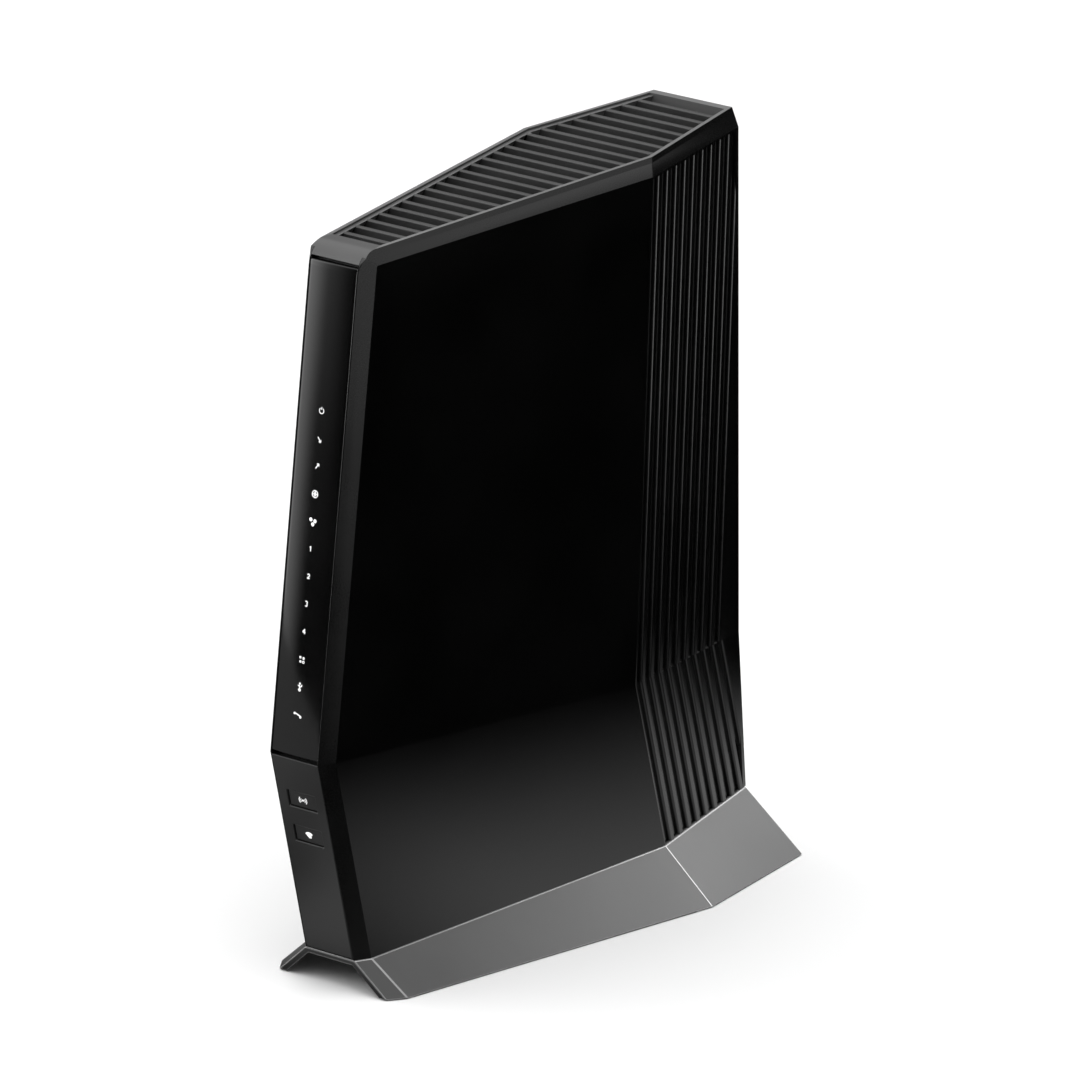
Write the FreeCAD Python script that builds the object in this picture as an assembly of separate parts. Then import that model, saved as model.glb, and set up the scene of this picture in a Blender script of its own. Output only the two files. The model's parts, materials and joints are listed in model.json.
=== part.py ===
"""Upright cable modem router: a tapered six-sided tower on a bent two-flap stand.

Frame: +X to the modem's right-hand side, +Y to its rear, +Z up, in millimetres.
The origin lies on the table, under the middle of the whole outline.
"""
import FreeCAD, Part
import math
import os

V = FreeCAD.Vector
UP = V(0, 0, 1)
REAR = V(0, 1, 0)
RIGHT = V(1, 0, 0)
REACH = 700.0              # edge of the blocks that trim with a plane, larger than the modem
CORE = V(0, 0, 150)        # a point well inside the body

# ---------------------------------------------------------------- driving dimensions of the body
# Three sloping levels: the height at y = 0 and the rise per millimetre towards the rear.
TOP_LEVEL = (279.7, 0.0495)
CREASE_LEVEL = (87.4, -0.0415)
BOTTOM_LEVEL = (17.3, 0.0454)
REAR_MIDDLE = V(0, 110.0, 150.0)               # the covers' flat rear leans forward by one degree
REAR_LEAN = 0.0175


def at_level(level, x, y):
    """Point of a sloping level at x, y."""
    height, rise = level
    return V(x, y, height + rise * y)


def rear_y(z):
    """Rear of the covers at a height."""
    return REAR_MIDDLE.y - REAR_LEAN * (z - REAR_MIDDLE.z)


HALF_FRONT = 11.2
TOP_FRONT = at_level(TOP_LEVEL, HALF_FRONT, -94.1)
TOP_KINK = at_level(TOP_LEVEL, 29.6, 46.7)
TOP_REAR = at_level(TOP_LEVEL, 18.2, rear_y(285))
PANEL_KINK = V(32.8, 43.4, 275.8)              # top of the kink edge, under the bevel
CREASE_FRONT = at_level(CREASE_LEVEL, HALF_FRONT, -118.1)
CREASE_EDGE = at_level(CREASE_LEVEL, 14.7, -112.5)
CREASE_KINK = at_level(CREASE_LEVEL, 34.5, 32.2)
CREASE_REAR = at_level(CREASE_LEVEL, 20.2, rear_y(83))
BOTTOM_FRONT = at_level(BOTTOM_LEVEL, HALF_FRONT, -99.6)
BOTTOM_EDGE = at_level(BOTTOM_LEVEL, 14.8, -94.0)
BOTTOM_KINK = at_level(BOTTOM_LEVEL, 34.8, 49.4)
BOTTOM_REAR = at_level(BOTTOM_LEVEL, 23.1, rear_y(22))
CORNER_RADIUS = 9.0        # rounding where the front turns into the top

# ---------------------------------------------------------------- driving dimensions of the pieces
WALL = 2.5                 # covers
GAP = 0.15                 # play between pieces that drop into each other
FRONT_HALF = 11.05         # half width of the opening between the covers at the front
FRONT_SKIN = 2.5           # thickness of the two front panels
FRAME_BACK = 5.5           # depth of the front frame's back face behind the front
CAP_Z = 271.0              # lower edge of the grille's front cap
LED_PANEL_TOP_Z = 269.6
CREASE_Z = CREASE_FRONT.z
CREASE_SEAM = 0.8          # half of the seam between the two front panels

FLANGE = 1.8               # grille rim that lies on the covers' edges
GRILLE_DEPTH = 5.0
GRILLE_RIM = 3.2           # from the side faces to the slots' ends
TRAY_RIM = 1.4             # from the side faces to the recess that the slats lie in
TRAY_DEPTH = 1.0
SLAT_COUNT = 24
SLAT_PITCH = 7.56
SLAT_WIDTH = 2.3
FIRST_SLAT_Y = -76.0

GROOVE_COUNT = 10          # grooves beside the nine ribs of each rear face
GROOVE_PITCH = 6.7
GROOVE_FIRST = 2.75        # from the kink edge to the middle of the first groove
GROOVE_WIDTH = 3.2         # of the flat floor
GROOVE_DEPTH = 1.3
SHOULDER_RADIUS = 1.0      # rounding between a groove and its ribs
SHOULDER_LIFT = 0.02       # the rounding's top above the face, which makes a clean cut
GROOVE_OVERRUN = 20.0      # before the bars are trimmed
GROOVE_TOP_MARGIN = 0.8
GROOVE_REAR_MARGIN = 2.0

ICON_Z = [217.3, 207.0, 197.5, 187.5, 177.5, 167.9, 158.0, 148.1, 138.1, 127.9, 118.0, 108.1]
BUTTON_Z = {"wifi": 74.8, "wps": 60.7}
BUTTON_SIZE = (12.6, 6.2)
BUTTON_PLAY = 0.2
BUTTON_RECESS = 0.6
PUSH_DEPTHS = (2.7, 3.4, 6.0)                  # front of the flange, front of the stem, tip of the stem

LED_BOARD_DEPTH = 9.0      # small boards behind the front, with their supporting posts
LED_BOARD_POSTS = [101.5, 225.0]
BUTTON_BOARD_DEPTH = 10.6
BUTTON_BOARD_POSTS = [52.0, 83.5]
SMALL_BOARD = 1.2

STAND_SHEET = 2.2
STAND_CLEAR = 0.35         # height of the flap edges above the table
FOOT_INSET = 0.6
FLAP_FRONT = V(28.9, -93.3, 0)
FLAP_KINK = V(57.3, 50.0, 0)
FLAP_REAR = V(46.1, 114.7, 0)

PANEL_BACK_Y = 104.1       # rear panel
PANEL_FACE_Y = 106.6
BOARD_FACE_X = -6.75       # main board, component side
BOARD_THICK = 1.6
BOARD_Y = (-70.0, 99.6)
BOARD_Z = (46.0, 252.0)

POWER_BUTTON_Z = 50.0      # column of ports up the rear
DC_JACK_Z = 72.0
COAX_Z = 97.0
WAN_JACK_Z = 124.0
LAN_JACK_Z = [148.0, 166.0, 184.0, 202.0]
USB_Z = 221.0
RESET_Z = 235.0

JACK_WIDTH = 16.0
JACK_DEPTH = 21.5
SOCKET = (11.9, 8.0, 14.0)     # width, height and depth of a network socket
COAX_RADIUS = 4.76
COAX_END_Y = 118.1
COAX_THREAD = 9.0
COAX_HOLE_RADIUS = 0.7
COAX_NUT_THICK = 2.4
DC_BORE_RADIUS = 3.15
DC_PIN_RADIUS = 1.05
SCREW_SHAFT = 1.25
SCREW_HEAD = 2.8
PILOT = 1.3
SCREW_PASS = 1.6

BOARD_SCREWS = [(-62.0, 62.0), (-62.0, 236.0), (80.0, 244.0), (80.0, 60.0)]
REAR_SCREWS = [(12.5, 266.0), (12.5, 34.0)]
STAND_SCREW_Y = [-55.0, 10.0, 75.0]

CHIP_HEIGHT = 1.4
PAD = 1.0
SHIELD_HEIGHT = 2.8
HEATSINK_Z = (118.0, 236.0)
HEATSINK_Y = (-48.0, 60.0)
HEATSINK_BASE = 2.6
FIN_PITCH = 6.0
FIN_THICK = 1.4

# Aerials: side of the modem, y range, z range. Then y and z where each lead meets the main board.
AERIALS = {
    "antenna_1": (1, (-80, -60), (178, 232)),
    "antenna_2": (1, (68, 86), (176, 232)),
    "antenna_3": (-1, (-80, -60), (110, 164)),
    "antenna_4": (-1, (60, 80), (104, 160)),
}
LEAD_ENDS = {"antenna_1": (-56, 190), "antenna_2": (72, 214), "antenna_3": (-58, 122), "antenna_4": (66, 128)}
LEAD_RADIUS = 0.6

VENT_X = [(8.5, 19.0), (-19.0, -8.5)]          # air intakes through the stand and the bottom panel
VENT_COUNT = 11
VENT_PITCH = 10.0
VENT_WIDTH = 5.0
VENT_Y = (-25.0, -25.0 + (VENT_COUNT - 1) * VENT_PITCH + VENT_WIDTH)


# ---------------------------------------------------------------- small tools
def box(x_range, y_range, z_range):
    """Axis-aligned block from three (low, high) pairs."""
    size = [high - low for low, high in (x_range, y_range, z_range)]
    return Part.makeBox(*size, V(x_range[0], y_range[0], z_range[0]))


def rod(start, direction, radius, length):
    """Round bar from a point along a direction."""
    return Part.makeCylinder(radius, length, start, direction)


def mirror(shape):
    """The same shape on the other side of the middle plane."""
    return shape.mirror(V(0, 0, 0), RIGHT)


def flip(point):
    """Mirror image of a point."""
    return V(-point.x, point.y, point.z)


def plane(a, b, c):
    """Plane through three points as (point, outward normal)."""
    normal = (b - a).cross(c - a).normalize()
    if normal.dot(a - CORE) < 0:
        normal = normal.negative()
    return a, normal


def both_sides(planes):
    """The planes and their mirror images."""
    return planes + [(flip(point), flip(normal)) for point, normal in planes]


def trim(shape, face, inset=0.0):
    """Cut away what lies outside a plane that has moved inwards by inset."""
    point, normal = face
    outside = Part.makeBox(REACH, REACH, REACH, V(-REACH / 2, -REACH / 2, 0))
    outside.Placement = FreeCAD.Placement(point - normal * inset, FreeCAD.Rotation(UP, normal))
    return shape.cut(outside)


def level_plane(level):
    """A sloping level as a plane whose normal points up."""
    height, rise = level
    return V(0, 0, height), V(0, -rise, 1).normalize()


# ---------------------------------------------------------------- the body's outline
UPPER = {
    "front": [plane(TOP_FRONT, CREASE_FRONT, flip(CREASE_FRONT))],
    "side": both_sides([
        plane(CREASE_FRONT, CREASE_EDGE, TOP_FRONT),
        plane(TOP_FRONT, TOP_KINK, PANEL_KINK),
        plane(TOP_KINK, PANEL_KINK, TOP_REAR),
        plane(CREASE_EDGE, CREASE_KINK, PANEL_KINK),
        plane(CREASE_KINK, PANEL_KINK, CREASE_REAR),
    ]),
    "top": [level_plane(TOP_LEVEL)],
    "rear": [(REAR_MIDDLE, V(0, 1, REAR_LEAN).normalize())],
    "bottom": [],
}
LOWER = {
    "front": [plane(BOTTOM_FRONT, CREASE_FRONT, flip(CREASE_FRONT))],
    "side": both_sides([
        plane(CREASE_FRONT, CREASE_EDGE, BOTTOM_FRONT),
        plane(CREASE_EDGE, CREASE_KINK, BOTTOM_KINK),
        plane(CREASE_KINK, BOTTOM_KINK, CREASE_REAR),
    ]),
    "top": [],
    "rear": UPPER["rear"],
    "bottom": [(level_plane(BOTTOM_LEVEL)[0], level_plane(BOTTOM_LEVEL)[1].negative())],
}


def region(**insets):
    """Space inside the named groups of faces, each moved in by its inset; the other ends stay open."""
    crease_point, crease_normal = level_plane(CREASE_LEVEL)
    halves = []
    for faces, cut_side in ((UPPER, crease_normal.negative()), (LOWER, crease_normal)):
        half = trim(box((-90, 90), (-150, 150), (-20, 320)), (crease_point, cut_side))
        for group, inset in insets.items():
            for face in faces[group]:
                half = trim(half, face, inset)
        halves.append(half)
    return halves[0].fuse(halves[1]).removeSplitter()


def front_layer(shallow, deep, half_width, z_range):
    """Slab that follows the front between two depths."""
    window = box((-half_width, half_width), (-150, 0), z_range)
    return region(front=shallow).cut(region(front=deep)).common(window)


def front_point(x, z, depth):
    """Point behind the front face, measured square to it, and the inward direction there."""
    point, normal = (UPPER if z > CREASE_Z else LOWER)["front"][0]
    inward = normal.negative()
    y = point.y - (z - point.z) * normal.z / normal.y
    return V(x, y, z) + inward * depth, inward


def front_block(centre_z, width, height, shallow, deep):
    """Block square to the front face, centred at a height, between two depths."""
    start, inward = front_point(0, centre_z, shallow)
    block = Part.makeBox(width, height, deep - shallow, V(-width / 2, -height / 2, 0))
    block.Placement = FreeCAD.Placement(start, FreeCAD.Rotation(RIGHT, V(), inward, "ZXY"))
    return block


def rounded_body():
    """The closed outline, with its front top corner rounded across the whole width."""
    sharp = region(side=0, front=0, top=0, rear=0, bottom=0)
    to_front = (CREASE_FRONT - TOP_FRONT).normalize()
    to_front.x = 0
    to_rear = V(0, 1, TOP_LEVEL[1]).normalize()
    half_angle = to_front.getAngle(to_rear) / 2
    setback = CORNER_RADIUS / math.tan(half_angle)
    corner = V(-90, TOP_FRONT.y, TOP_FRONT.z)
    first = corner + to_front * setback
    last = corner + to_rear * setback
    centre = corner + (to_front + to_rear).normalize() * (CORNER_RADIUS / math.sin(half_angle))
    wedge = Part.Face(Part.makePolygon([corner, first, last, corner])).extrude(RIGHT * 180)
    return sharp.cut(wedge.cut(rod(centre, RIGHT, CORNER_RADIUS, 180)))


BODY = rounded_body()


# ---------------------------------------------------------------- covers
def groove_section():
    """Groove's cross-section: flat floor, and shoulders that make the ribs half-round."""
    half = GROOVE_WIDTH / 2
    edge = half + SHOULDER_RADIUS
    low = SHOULDER_LIFT - SHOULDER_RADIUS
    diagonal = SHOULDER_RADIUS * math.sqrt(0.5)
    lines = [(-half, low), (-half, -GROOVE_DEPTH), (half, -GROOVE_DEPTH), (half, low)]
    lid = [(edge, SHOULDER_LIFT), (edge, 1), (-edge, 1), (-edge, SHOULDER_LIFT)]
    edges = []
    for outline in (lines, lid):
        corners = [V(x, y, -GROOVE_OVERRUN) for x, y in outline]
        edges += [Part.makeLine(start, end) for start, end in zip(corners, corners[1:])]
    for side in (-1, 1):
        bend = [(side * half, low), (side * (edge - diagonal), low + diagonal), (side * edge, SHOULDER_LIFT)]
        edges.append(Part.Arc(*[V(x, y, -GROOVE_OVERRUN) for x, y in bend]).toShape())
    return Part.Face(Part.Wire(Part.__sortEdges__(edges)))


def groove_bars(face, kink_end):
    """Bars along the kink edge of one rear face, spaced from the edge to the rear."""
    normal = face[1]
    along = (kink_end - CREASE_KINK).normalize()
    across = along.cross(normal).normalize()
    if across.y < 0:
        across = across.negative()
    length = (kink_end - CREASE_KINK).Length + 2 * GROOVE_OVERRUN
    bars = []
    for count in range(GROOVE_COUNT):
        bar = groove_section().extrude(V(0, 0, length))
        offset = GROOVE_FIRST + count * GROOVE_PITCH
        bar.Placement = FreeCAD.Placement(
            CREASE_KINK + across * offset, FreeCAD.Rotation(across, normal, along, "ZYX"))
        bars.append(bar)
    return Part.makeCompound(bars)


def rib_grooves():
    """Grooves of the right cover's rear faces, from the top bevel over the crease to the bottom edge."""
    crease_point, crease_up = level_plane(CREASE_LEVEL)
    bevel_normal, face_normal = UPPER["side"][2][1], UPPER["side"][4][1]
    rim_up = bevel_normal.cross(face_normal).cross(face_normal).normalize()
    if rim_up.z < 0:
        rim_up = rim_up.negative()
    upper = trim(groove_bars(UPPER["side"][4], PANEL_KINK), (crease_point, crease_up.negative()))
    upper = trim(upper, (PANEL_KINK, rim_up), GROOVE_TOP_MARGIN)
    lower = trim(groove_bars(LOWER["side"][2], BOTTOM_KINK), (crease_point, crease_up))
    return Part.makeCompound([upper, lower]).common(region(rear=GROOVE_REAR_MARGIN))


def cover_skin():
    """Right cover without its inner features."""
    skin = BODY.cut(region(side=WALL))
    skin = skin.common(box((0, 90), (-150, 150), (0, 320)))
    skin = skin.cut(front_layer(-1, FRONT_SKIN, FRONT_HALF, (0, 320)))
    skin = trim(skin, level_plane(TOP_LEVEL), FLANGE)
    return skin.cut(rib_grooves())


def rear_lugs(inner_limit):
    """Blocks inside the right cover that the rear panel screws into."""
    lugs = []
    for x, z in REAR_SCREWS:
        lug = box((x - 4, 40), (PANEL_BACK_Y - 9, PANEL_BACK_Y), (z - 4, z + 4)).common(inner_limit)
        lugs.append(lug.cut(rod(V(x, PANEL_BACK_Y - 8, z), REAR, PILOT, 9)))
    return lugs


def board_posts(inner_limit):
    """Posts inside the left cover that carry the main board."""
    posts = []
    start_x = BOARD_FACE_X - BOARD_THICK
    for y, z in BOARD_SCREWS:
        post = rod(V(start_x, y, z), RIGHT.negative(), 3.2, 40).common(inner_limit)
        posts.append(post.cut(rod(V(start_x + 1, y, z), RIGHT.negative(), PILOT, 7)))
    return posts


def covers():
    """Right and left side covers."""
    inner_limit = region(side=WALL / 2)
    right = cover_skin()
    for lug in rear_lugs(inner_limit):
        right = right.fuse(lug)
    left = mirror(right)
    for post in board_posts(inner_limit):
        left = left.fuse(post)
    return {"right_cover": right.removeSplitter(), "left_cover": left.removeSplitter()}


# ---------------------------------------------------------------- top grille
def above(depth):
    """Space above the top face lowered by a depth."""
    point, up = level_plane(TOP_LEVEL)
    return trim(box((-90, 90), (-150, 150), (200, 320)), (point, up.negative()), -depth)


def top_grille():
    """Rim on the covers' edges, slats in a shallow tray, and the cap that turns down over the front."""
    flange = BODY.common(above(FLANGE))
    insert = BODY.common(region(side=WALL + GAP, front=FRONT_SKIN)).common(above(GRILLE_DEPTH))
    cap = BODY.common(front_layer(-1, FRONT_SKIN, FRONT_HALF - GAP, (CAP_Z, 320)))
    grille = flange.fuse(insert).fuse(cap)
    inside = region(side=GRILLE_RIM)
    slots = []
    for count in range(SLAT_COUNT + 1):
        low = FIRST_SLAT_Y + (count - 1) * SLAT_PITCH + SLAT_WIDTH / 2
        slots.append((low, low + SLAT_PITCH - SLAT_WIDTH))
        grille = grille.cut(box((-90, 90), slots[-1], (200, 320)).common(inside))
    tray = box((-90, 90), (slots[0][0], slots[-1][1]), (200, 320)).common(region(side=TRAY_RIM))
    return grille.cut(tray.common(above(TRAY_DEPTH))).removeSplitter()


# ---------------------------------------------------------------- front pieces
def led_panel():
    """Gloss lens over the indicators."""
    z_range = (CREASE_Z + CREASE_SEAM, LED_PANEL_TOP_Z)
    return BODY.common(front_layer(-1, FRONT_SKIN, FRONT_HALF - GAP, z_range))


def front_lower_panel():
    """Lower front with its two button windows."""
    panel = BODY.common(front_layer(-1, FRONT_SKIN, FRONT_HALF - GAP, (0, CREASE_Z - CREASE_SEAM)))
    panel = panel.common(region(bottom=0.3))
    for z in BUTTON_Z.values():
        width, height = [size + 2 * BUTTON_PLAY for size in BUTTON_SIZE]
        panel = panel.cut(front_block(z, width, height, -2, FRONT_SKIN + 1))
    return panel


def front_frame():
    """Spine behind the front panels, with light pipe holes, button pockets and board posts."""
    spine = region(side=WALL + GAP, front=FRONT_SKIN, bottom=3.3, top=GRILLE_DEPTH + 0.3)
    spine = spine.cut(region(front=FRAME_BACK))
    for z in ICON_Z:
        start, inward = front_point(0, z, 0)
        spine = spine.cut(rod(start, inward, 1.7, FRAME_BACK + 1))
    for z in BUTTON_Z.values():
        width, height = [size + 2.6 for size in BUTTON_SIZE]
        spine = spine.cut(front_block(z, width, height, 0, 4.4))
        spine = spine.cut(front_block(z, 4.2, 4.2, 0, FRAME_BACK + 1))
    for z in LED_BOARD_POSTS:
        start, inward = front_point(0, z, FRAME_BACK - 0.5)
        spine = spine.fuse(rod(start, inward, 2.0, LED_BOARD_DEPTH - FRAME_BACK + 0.5))
    for z in BUTTON_BOARD_POSTS:
        start, inward = front_point(0, z, FRAME_BACK - 0.5)
        spine = spine.fuse(rod(start, inward, 1.8, BUTTON_BOARD_DEPTH - FRAME_BACK + 0.5))
    return spine.removeSplitter()


def push_button(z):
    """Front button: cap in the window, retaining flange and stem."""
    width, height = BUTTON_SIZE
    flange_start, stem_start, tip = PUSH_DEPTHS
    cap = front_block(z, width, height, BUTTON_RECESS, flange_start)
    flange = front_block(z, width + 1.8, height + 1.8, flange_start, stem_start)
    stem = front_block(z, 3.6, 3.6, stem_start, tip)
    return cap.fuse(flange).fuse(stem).removeSplitter()


def tact_switch(z):
    """Switch that a front button presses."""
    return front_block(z, 6.0, 6.0, 7.0, BUTTON_BOARD_DEPTH)


def light_guide():
    """Clear strip with one peg per indicator."""
    strip = front_layer(FRAME_BACK, FRAME_BACK + 1, 3.5, (LED_BOARD_POSTS[0] + 3, LED_BOARD_POSTS[1] - 3))
    for z in ICON_Z:
        start, inward = front_point(0, z, FRONT_SKIN)
        strip = strip.fuse(rod(start, inward, 1.4, FRAME_BACK - FRONT_SKIN + 0.5))
    return strip.removeSplitter()


def front_boards():
    """Indicator board with its lamps, and button board with its switches."""
    led_board = front_layer(LED_BOARD_DEPTH, LED_BOARD_DEPTH + SMALL_BOARD, 7.0, (97, 229))
    button_board = front_layer(BUTTON_BOARD_DEPTH, BUTTON_BOARD_DEPTH + SMALL_BOARD, 7.0, (48, 87))
    lamps = [front_block(z, 3.0, 1.6, LED_BOARD_DEPTH - 1.2, LED_BOARD_DEPTH) for z in ICON_Z]
    return {"led_board": led_board, "button_board": button_board, "leds": Part.makeCompound(lamps)}


# ---------------------------------------------------------------- stand
def stand_outline(inset):
    """Space under the stand's outer faces, moved in by inset and open at the front and rear."""
    outline = box((-90, 90), (-150, 150), (-20, 60))
    faces = [level_plane(BOTTOM_LEVEL)]
    faces += both_sides([
        stand_plane(BOTTOM_EDGE, BOTTOM_KINK, FLAP_KINK),
        stand_plane(BOTTOM_KINK, BOTTOM_REAR, FLAP_KINK),
        stand_plane(BOTTOM_FRONT, BOTTOM_EDGE, FLAP_FRONT),
    ])
    for face in faces:
        outline = trim(outline, face, inset)
    return outline


def stand_plane(a, b, c):
    """Plane of a stand flap, with its normal upwards."""
    point, normal = plane(a, b, c)
    return point, normal if normal.z > 0 else normal.negative()


def stand():
    """Bent sheet: a strip under the body and a sloping flap on each side."""
    sheet = stand_outline(0).cut(stand_outline(STAND_SHEET))
    sheet = sheet.common(box((-90, 90), (-150, 150), (STAND_CLEAR, 60)))
    front_end = (BOTTOM_FRONT, V(0, -1, -0.12).normalize())
    rear_end = (FLAP_REAR, V(0, 1, 0.133).normalize())
    sheet = trim(trim(sheet, front_end), rear_end)
    for x_range in VENT_X:
        sheet = sheet.cut(box(x_range, VENT_Y, (0, 60)))
    for y in STAND_SCREW_Y:
        start, upward = stand_screw_line(y)
        sheet = sheet.cut(rod(start - upward * 10, upward, SCREW_PASS, 20))
    return sheet


def stand_screw_line(y):
    """Where a stand screw passes the top of the stand, and its direction."""
    return at_level(BOTTOM_LEVEL, 0, y), level_plane(BOTTOM_LEVEL)[1]


def foot_strips():
    """Soft strips under the flap edges: one per straight stretch."""
    strips = {}
    lower = stand_outline(FOOT_INSET).cut(stand_outline(STAND_SHEET - 0.15))
    lower = lower.common(box((0, 90), (-150, 150), (0, STAND_CLEAR)))
    stretches = {"front": (-88.0, 43.0), "rear": (53.0, 108.0)}
    for name, y_range in stretches.items():
        right = lower.common(box((0, 90), y_range, (-1, 5)))
        strips["foot_strip_right_" + name] = right
        strips["foot_strip_left_" + name] = mirror(right)
    return strips


# ---------------------------------------------------------------- bottom and rear panels
def bottom_panel():
    """Vented floor between the covers, with bosses for the stand screws."""
    floor = region(side=WALL + GAP, front=FRONT_SKIN + GAP, bottom=0).cut(region(bottom=3.0))
    floor = floor.common(box((-90, 90), (-150, PANEL_BACK_Y - GAP), (0, 60)))
    for count in range(VENT_COUNT):
        low_y = VENT_Y[0] + count * VENT_PITCH
        for x_range in VENT_X:
            floor = floor.cut(box(x_range, (low_y, low_y + VENT_WIDTH), (0, 60)))
    for y in STAND_SCREW_Y:
        start, upward = stand_screw_line(y)
        floor = floor.fuse(rod(start + upward * 2, upward, 4.0, 10))
        floor = floor.cut(rod(start - upward, upward, PILOT, 12))
    return floor.removeSplitter()


def port_windows():
    """Openings of the rear panel, one solid each."""
    depth = (PANEL_BACK_Y - 2, PANEL_FACE_Y + 2)
    half = JACK_WIDTH / 2 + 0.2
    windows = [box((-6.9, 6.9), depth, (z - half, z + half)) for z in [WAN_JACK_Z] + LAN_JACK_Z]
    windows.append(box((-7.1, -3.1), depth, (USB_Z - 4.8, USB_Z + 4.8)))
    windows.append(box((-4.7, 4.7), depth, (POWER_BUTTON_Z - 4.7, POWER_BUTTON_Z + 4.7)))
    windows.append(box((-6.9, 5.4), depth, (DC_JACK_Z - 5.0, DC_JACK_Z + 5.0)))
    windows.append(rod(V(0, depth[0], COAX_Z), REAR, COAX_RADIUS + 0.3, 6))
    windows.append(rod(V(0, depth[0], RESET_Z), REAR, 1.3, 6))
    windows += [rod(V(side * x, depth[0], z), REAR, SCREW_PASS, 6) for x, z in REAR_SCREWS for side in (-1, 1)]
    windows += [box((-9, 9), depth, (z - 1.4, z + 1.4)) for z in (245, 250, 255, 260)]
    return windows


def rear_panel():
    """Port panel between the covers, slightly recessed."""
    plate = region(side=WALL + GAP, top=GRILLE_DEPTH + 0.3, bottom=0.3)
    plate = plate.common(box((-90, 90), (PANEL_BACK_Y, PANEL_FACE_Y), (0, 320)))
    for window in port_windows():
        plate = plate.cut(window)
    return plate


# ---------------------------------------------------------------- rear buttons and ports
def power_button():
    """Push-on push-off cap with its stem."""
    z = POWER_BUTTON_Z
    cap = box((-4.5, 4.5), (PANEL_BACK_Y - 0.2, PANEL_FACE_Y + 2.8), (z - 4.5, z + 4.5))
    cap = cap.makeFillet(1.0, [edge for edge in cap.Edges if edge.BoundBox.YLength > 3])
    flange = box((-5.4, 5.4), (PANEL_BACK_Y - 1.7, PANEL_BACK_Y - 0.2), (z - 5.4, z + 5.4))
    stem = box((-1.5, 1.5), (PANEL_BACK_Y - 13.5, PANEL_BACK_Y - 1.7), (z - 1.5, z + 1.5))
    return cap.fuse(flange).fuse(stem)


def power_switch():
    """Latching switch that the power button pushes."""
    z = POWER_BUTTON_Z
    case = box((BOARD_FACE_X, 4.2), (PANEL_BACK_Y - 20.5, PANEL_BACK_Y - 7.5), (z - 4.5, z + 4.5))
    return case.cut(box((-1.8, 1.8), (PANEL_BACK_Y - 17.5, PANEL_BACK_Y), (z - 1.8, z + 1.8)))


def reset_button():
    """Small plunger behind a pinhole."""
    tip = rod(V(0, PANEL_BACK_Y - 6.9, RESET_Z), REAR, 1.0, 8.0)
    return tip.fuse(rod(V(0, PANEL_BACK_Y - 1.6, RESET_Z), REAR, 2.2, 1.3))


def reset_switch():
    """Right-angle switch behind the reset button."""
    return box((BOARD_FACE_X, 3.0), (PANEL_BACK_Y - 14.5, PANEL_BACK_Y - 7.9), (RESET_Z - 3.0, RESET_Z + 3.0))


def network_jack(z):
    """Shielded jack with an open socket and its latch channel."""
    width, height, depth = SOCKET
    face = PANEL_FACE_Y + 0.4
    case = box((BOARD_FACE_X, -BOARD_FACE_X), (face - JACK_DEPTH, face), (z - JACK_WIDTH / 2, z + JACK_WIDTH / 2))
    socket = box((-height / 2 - 1, height / 2 - 1), (face - depth, face + 1), (z - width / 2, z + width / 2))
    latch = box((0, height / 2 + 1.5), (face - depth, face + 1), (z - 3.2, z + 3.2))
    return case.cut(socket).cut(latch)


def usb_port():
    """Small reversible socket lying flat on the board."""
    shell = box((BOARD_FACE_X, -3.45), (PANEL_FACE_Y - 9, PANEL_FACE_Y), (USB_Z - 4.5, USB_Z + 4.5))
    mouth = box((BOARD_FACE_X + 0.35, -3.8), (PANEL_FACE_Y - 7, PANEL_FACE_Y + 1), (USB_Z - 4.15, USB_Z + 4.15))
    tongue = box((-5.45, -4.75), (PANEL_FACE_Y - 7.5, PANEL_FACE_Y - 1), (USB_Z - 3.3, USB_Z + 3.3))
    return shell.cut(mouth).fuse(tongue).removeSplitter()


def dc_jack():
    """Power inlet with a centre pin."""
    case = box((BOARD_FACE_X, 5.2), (PANEL_FACE_Y - 15, PANEL_FACE_Y), (DC_JACK_Z - 4.8, DC_JACK_Z + 4.8))
    case = case.cut(rod(V(0, PANEL_FACE_Y - 9.5, DC_JACK_Z), REAR, DC_BORE_RADIUS, 12))
    return case.fuse(rod(V(0, PANEL_FACE_Y - 10.0, DC_JACK_Z), REAR, DC_PIN_RADIUS, 9.0))


def coax_connector():
    """Threaded aerial socket on its cast base."""
    base_end = PANEL_BACK_Y - 4
    base = box((BOARD_FACE_X, 6.0), (base_end - 15, base_end), (COAX_Z - 6.5, COAX_Z + 6.5))
    thread_start = COAX_END_Y - COAX_THREAD
    root = rod(V(0, base_end - 0.5, COAX_Z), REAR, COAX_RADIUS - 0.2, thread_start - base_end + 1)
    barrel = rod(V(0, thread_start, COAX_Z), REAR, COAX_RADIUS, COAX_THREAD)
    hole = rod(V(0, thread_start, COAX_Z), REAR, COAX_HOLE_RADIUS, COAX_THREAD + 1)
    return base.fuse(root).fuse(barrel).cut(hole)


def coax_nut():
    """Hexagon nut that clamps the rear panel."""
    corner_radius = 12.7 / math.sqrt(3)
    corners = [V(corner_radius * math.cos(math.radians(60 * count)), PANEL_FACE_Y,
                 COAX_Z + corner_radius * math.sin(math.radians(60 * count))) for count in range(7)]
    blank = Part.Face(Part.makePolygon(corners)).extrude(REAR * COAX_NUT_THICK)
    return blank.cut(rod(V(0, PANEL_FACE_Y - 1, COAX_Z), REAR, COAX_RADIUS + 0.08, 5))


# ---------------------------------------------------------------- main board and what sits on it
def on_board(thickness, y_range, z_range, start=BOARD_FACE_X):
    """Block standing on the component side."""
    return box((start, start + thickness), y_range, z_range)


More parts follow.
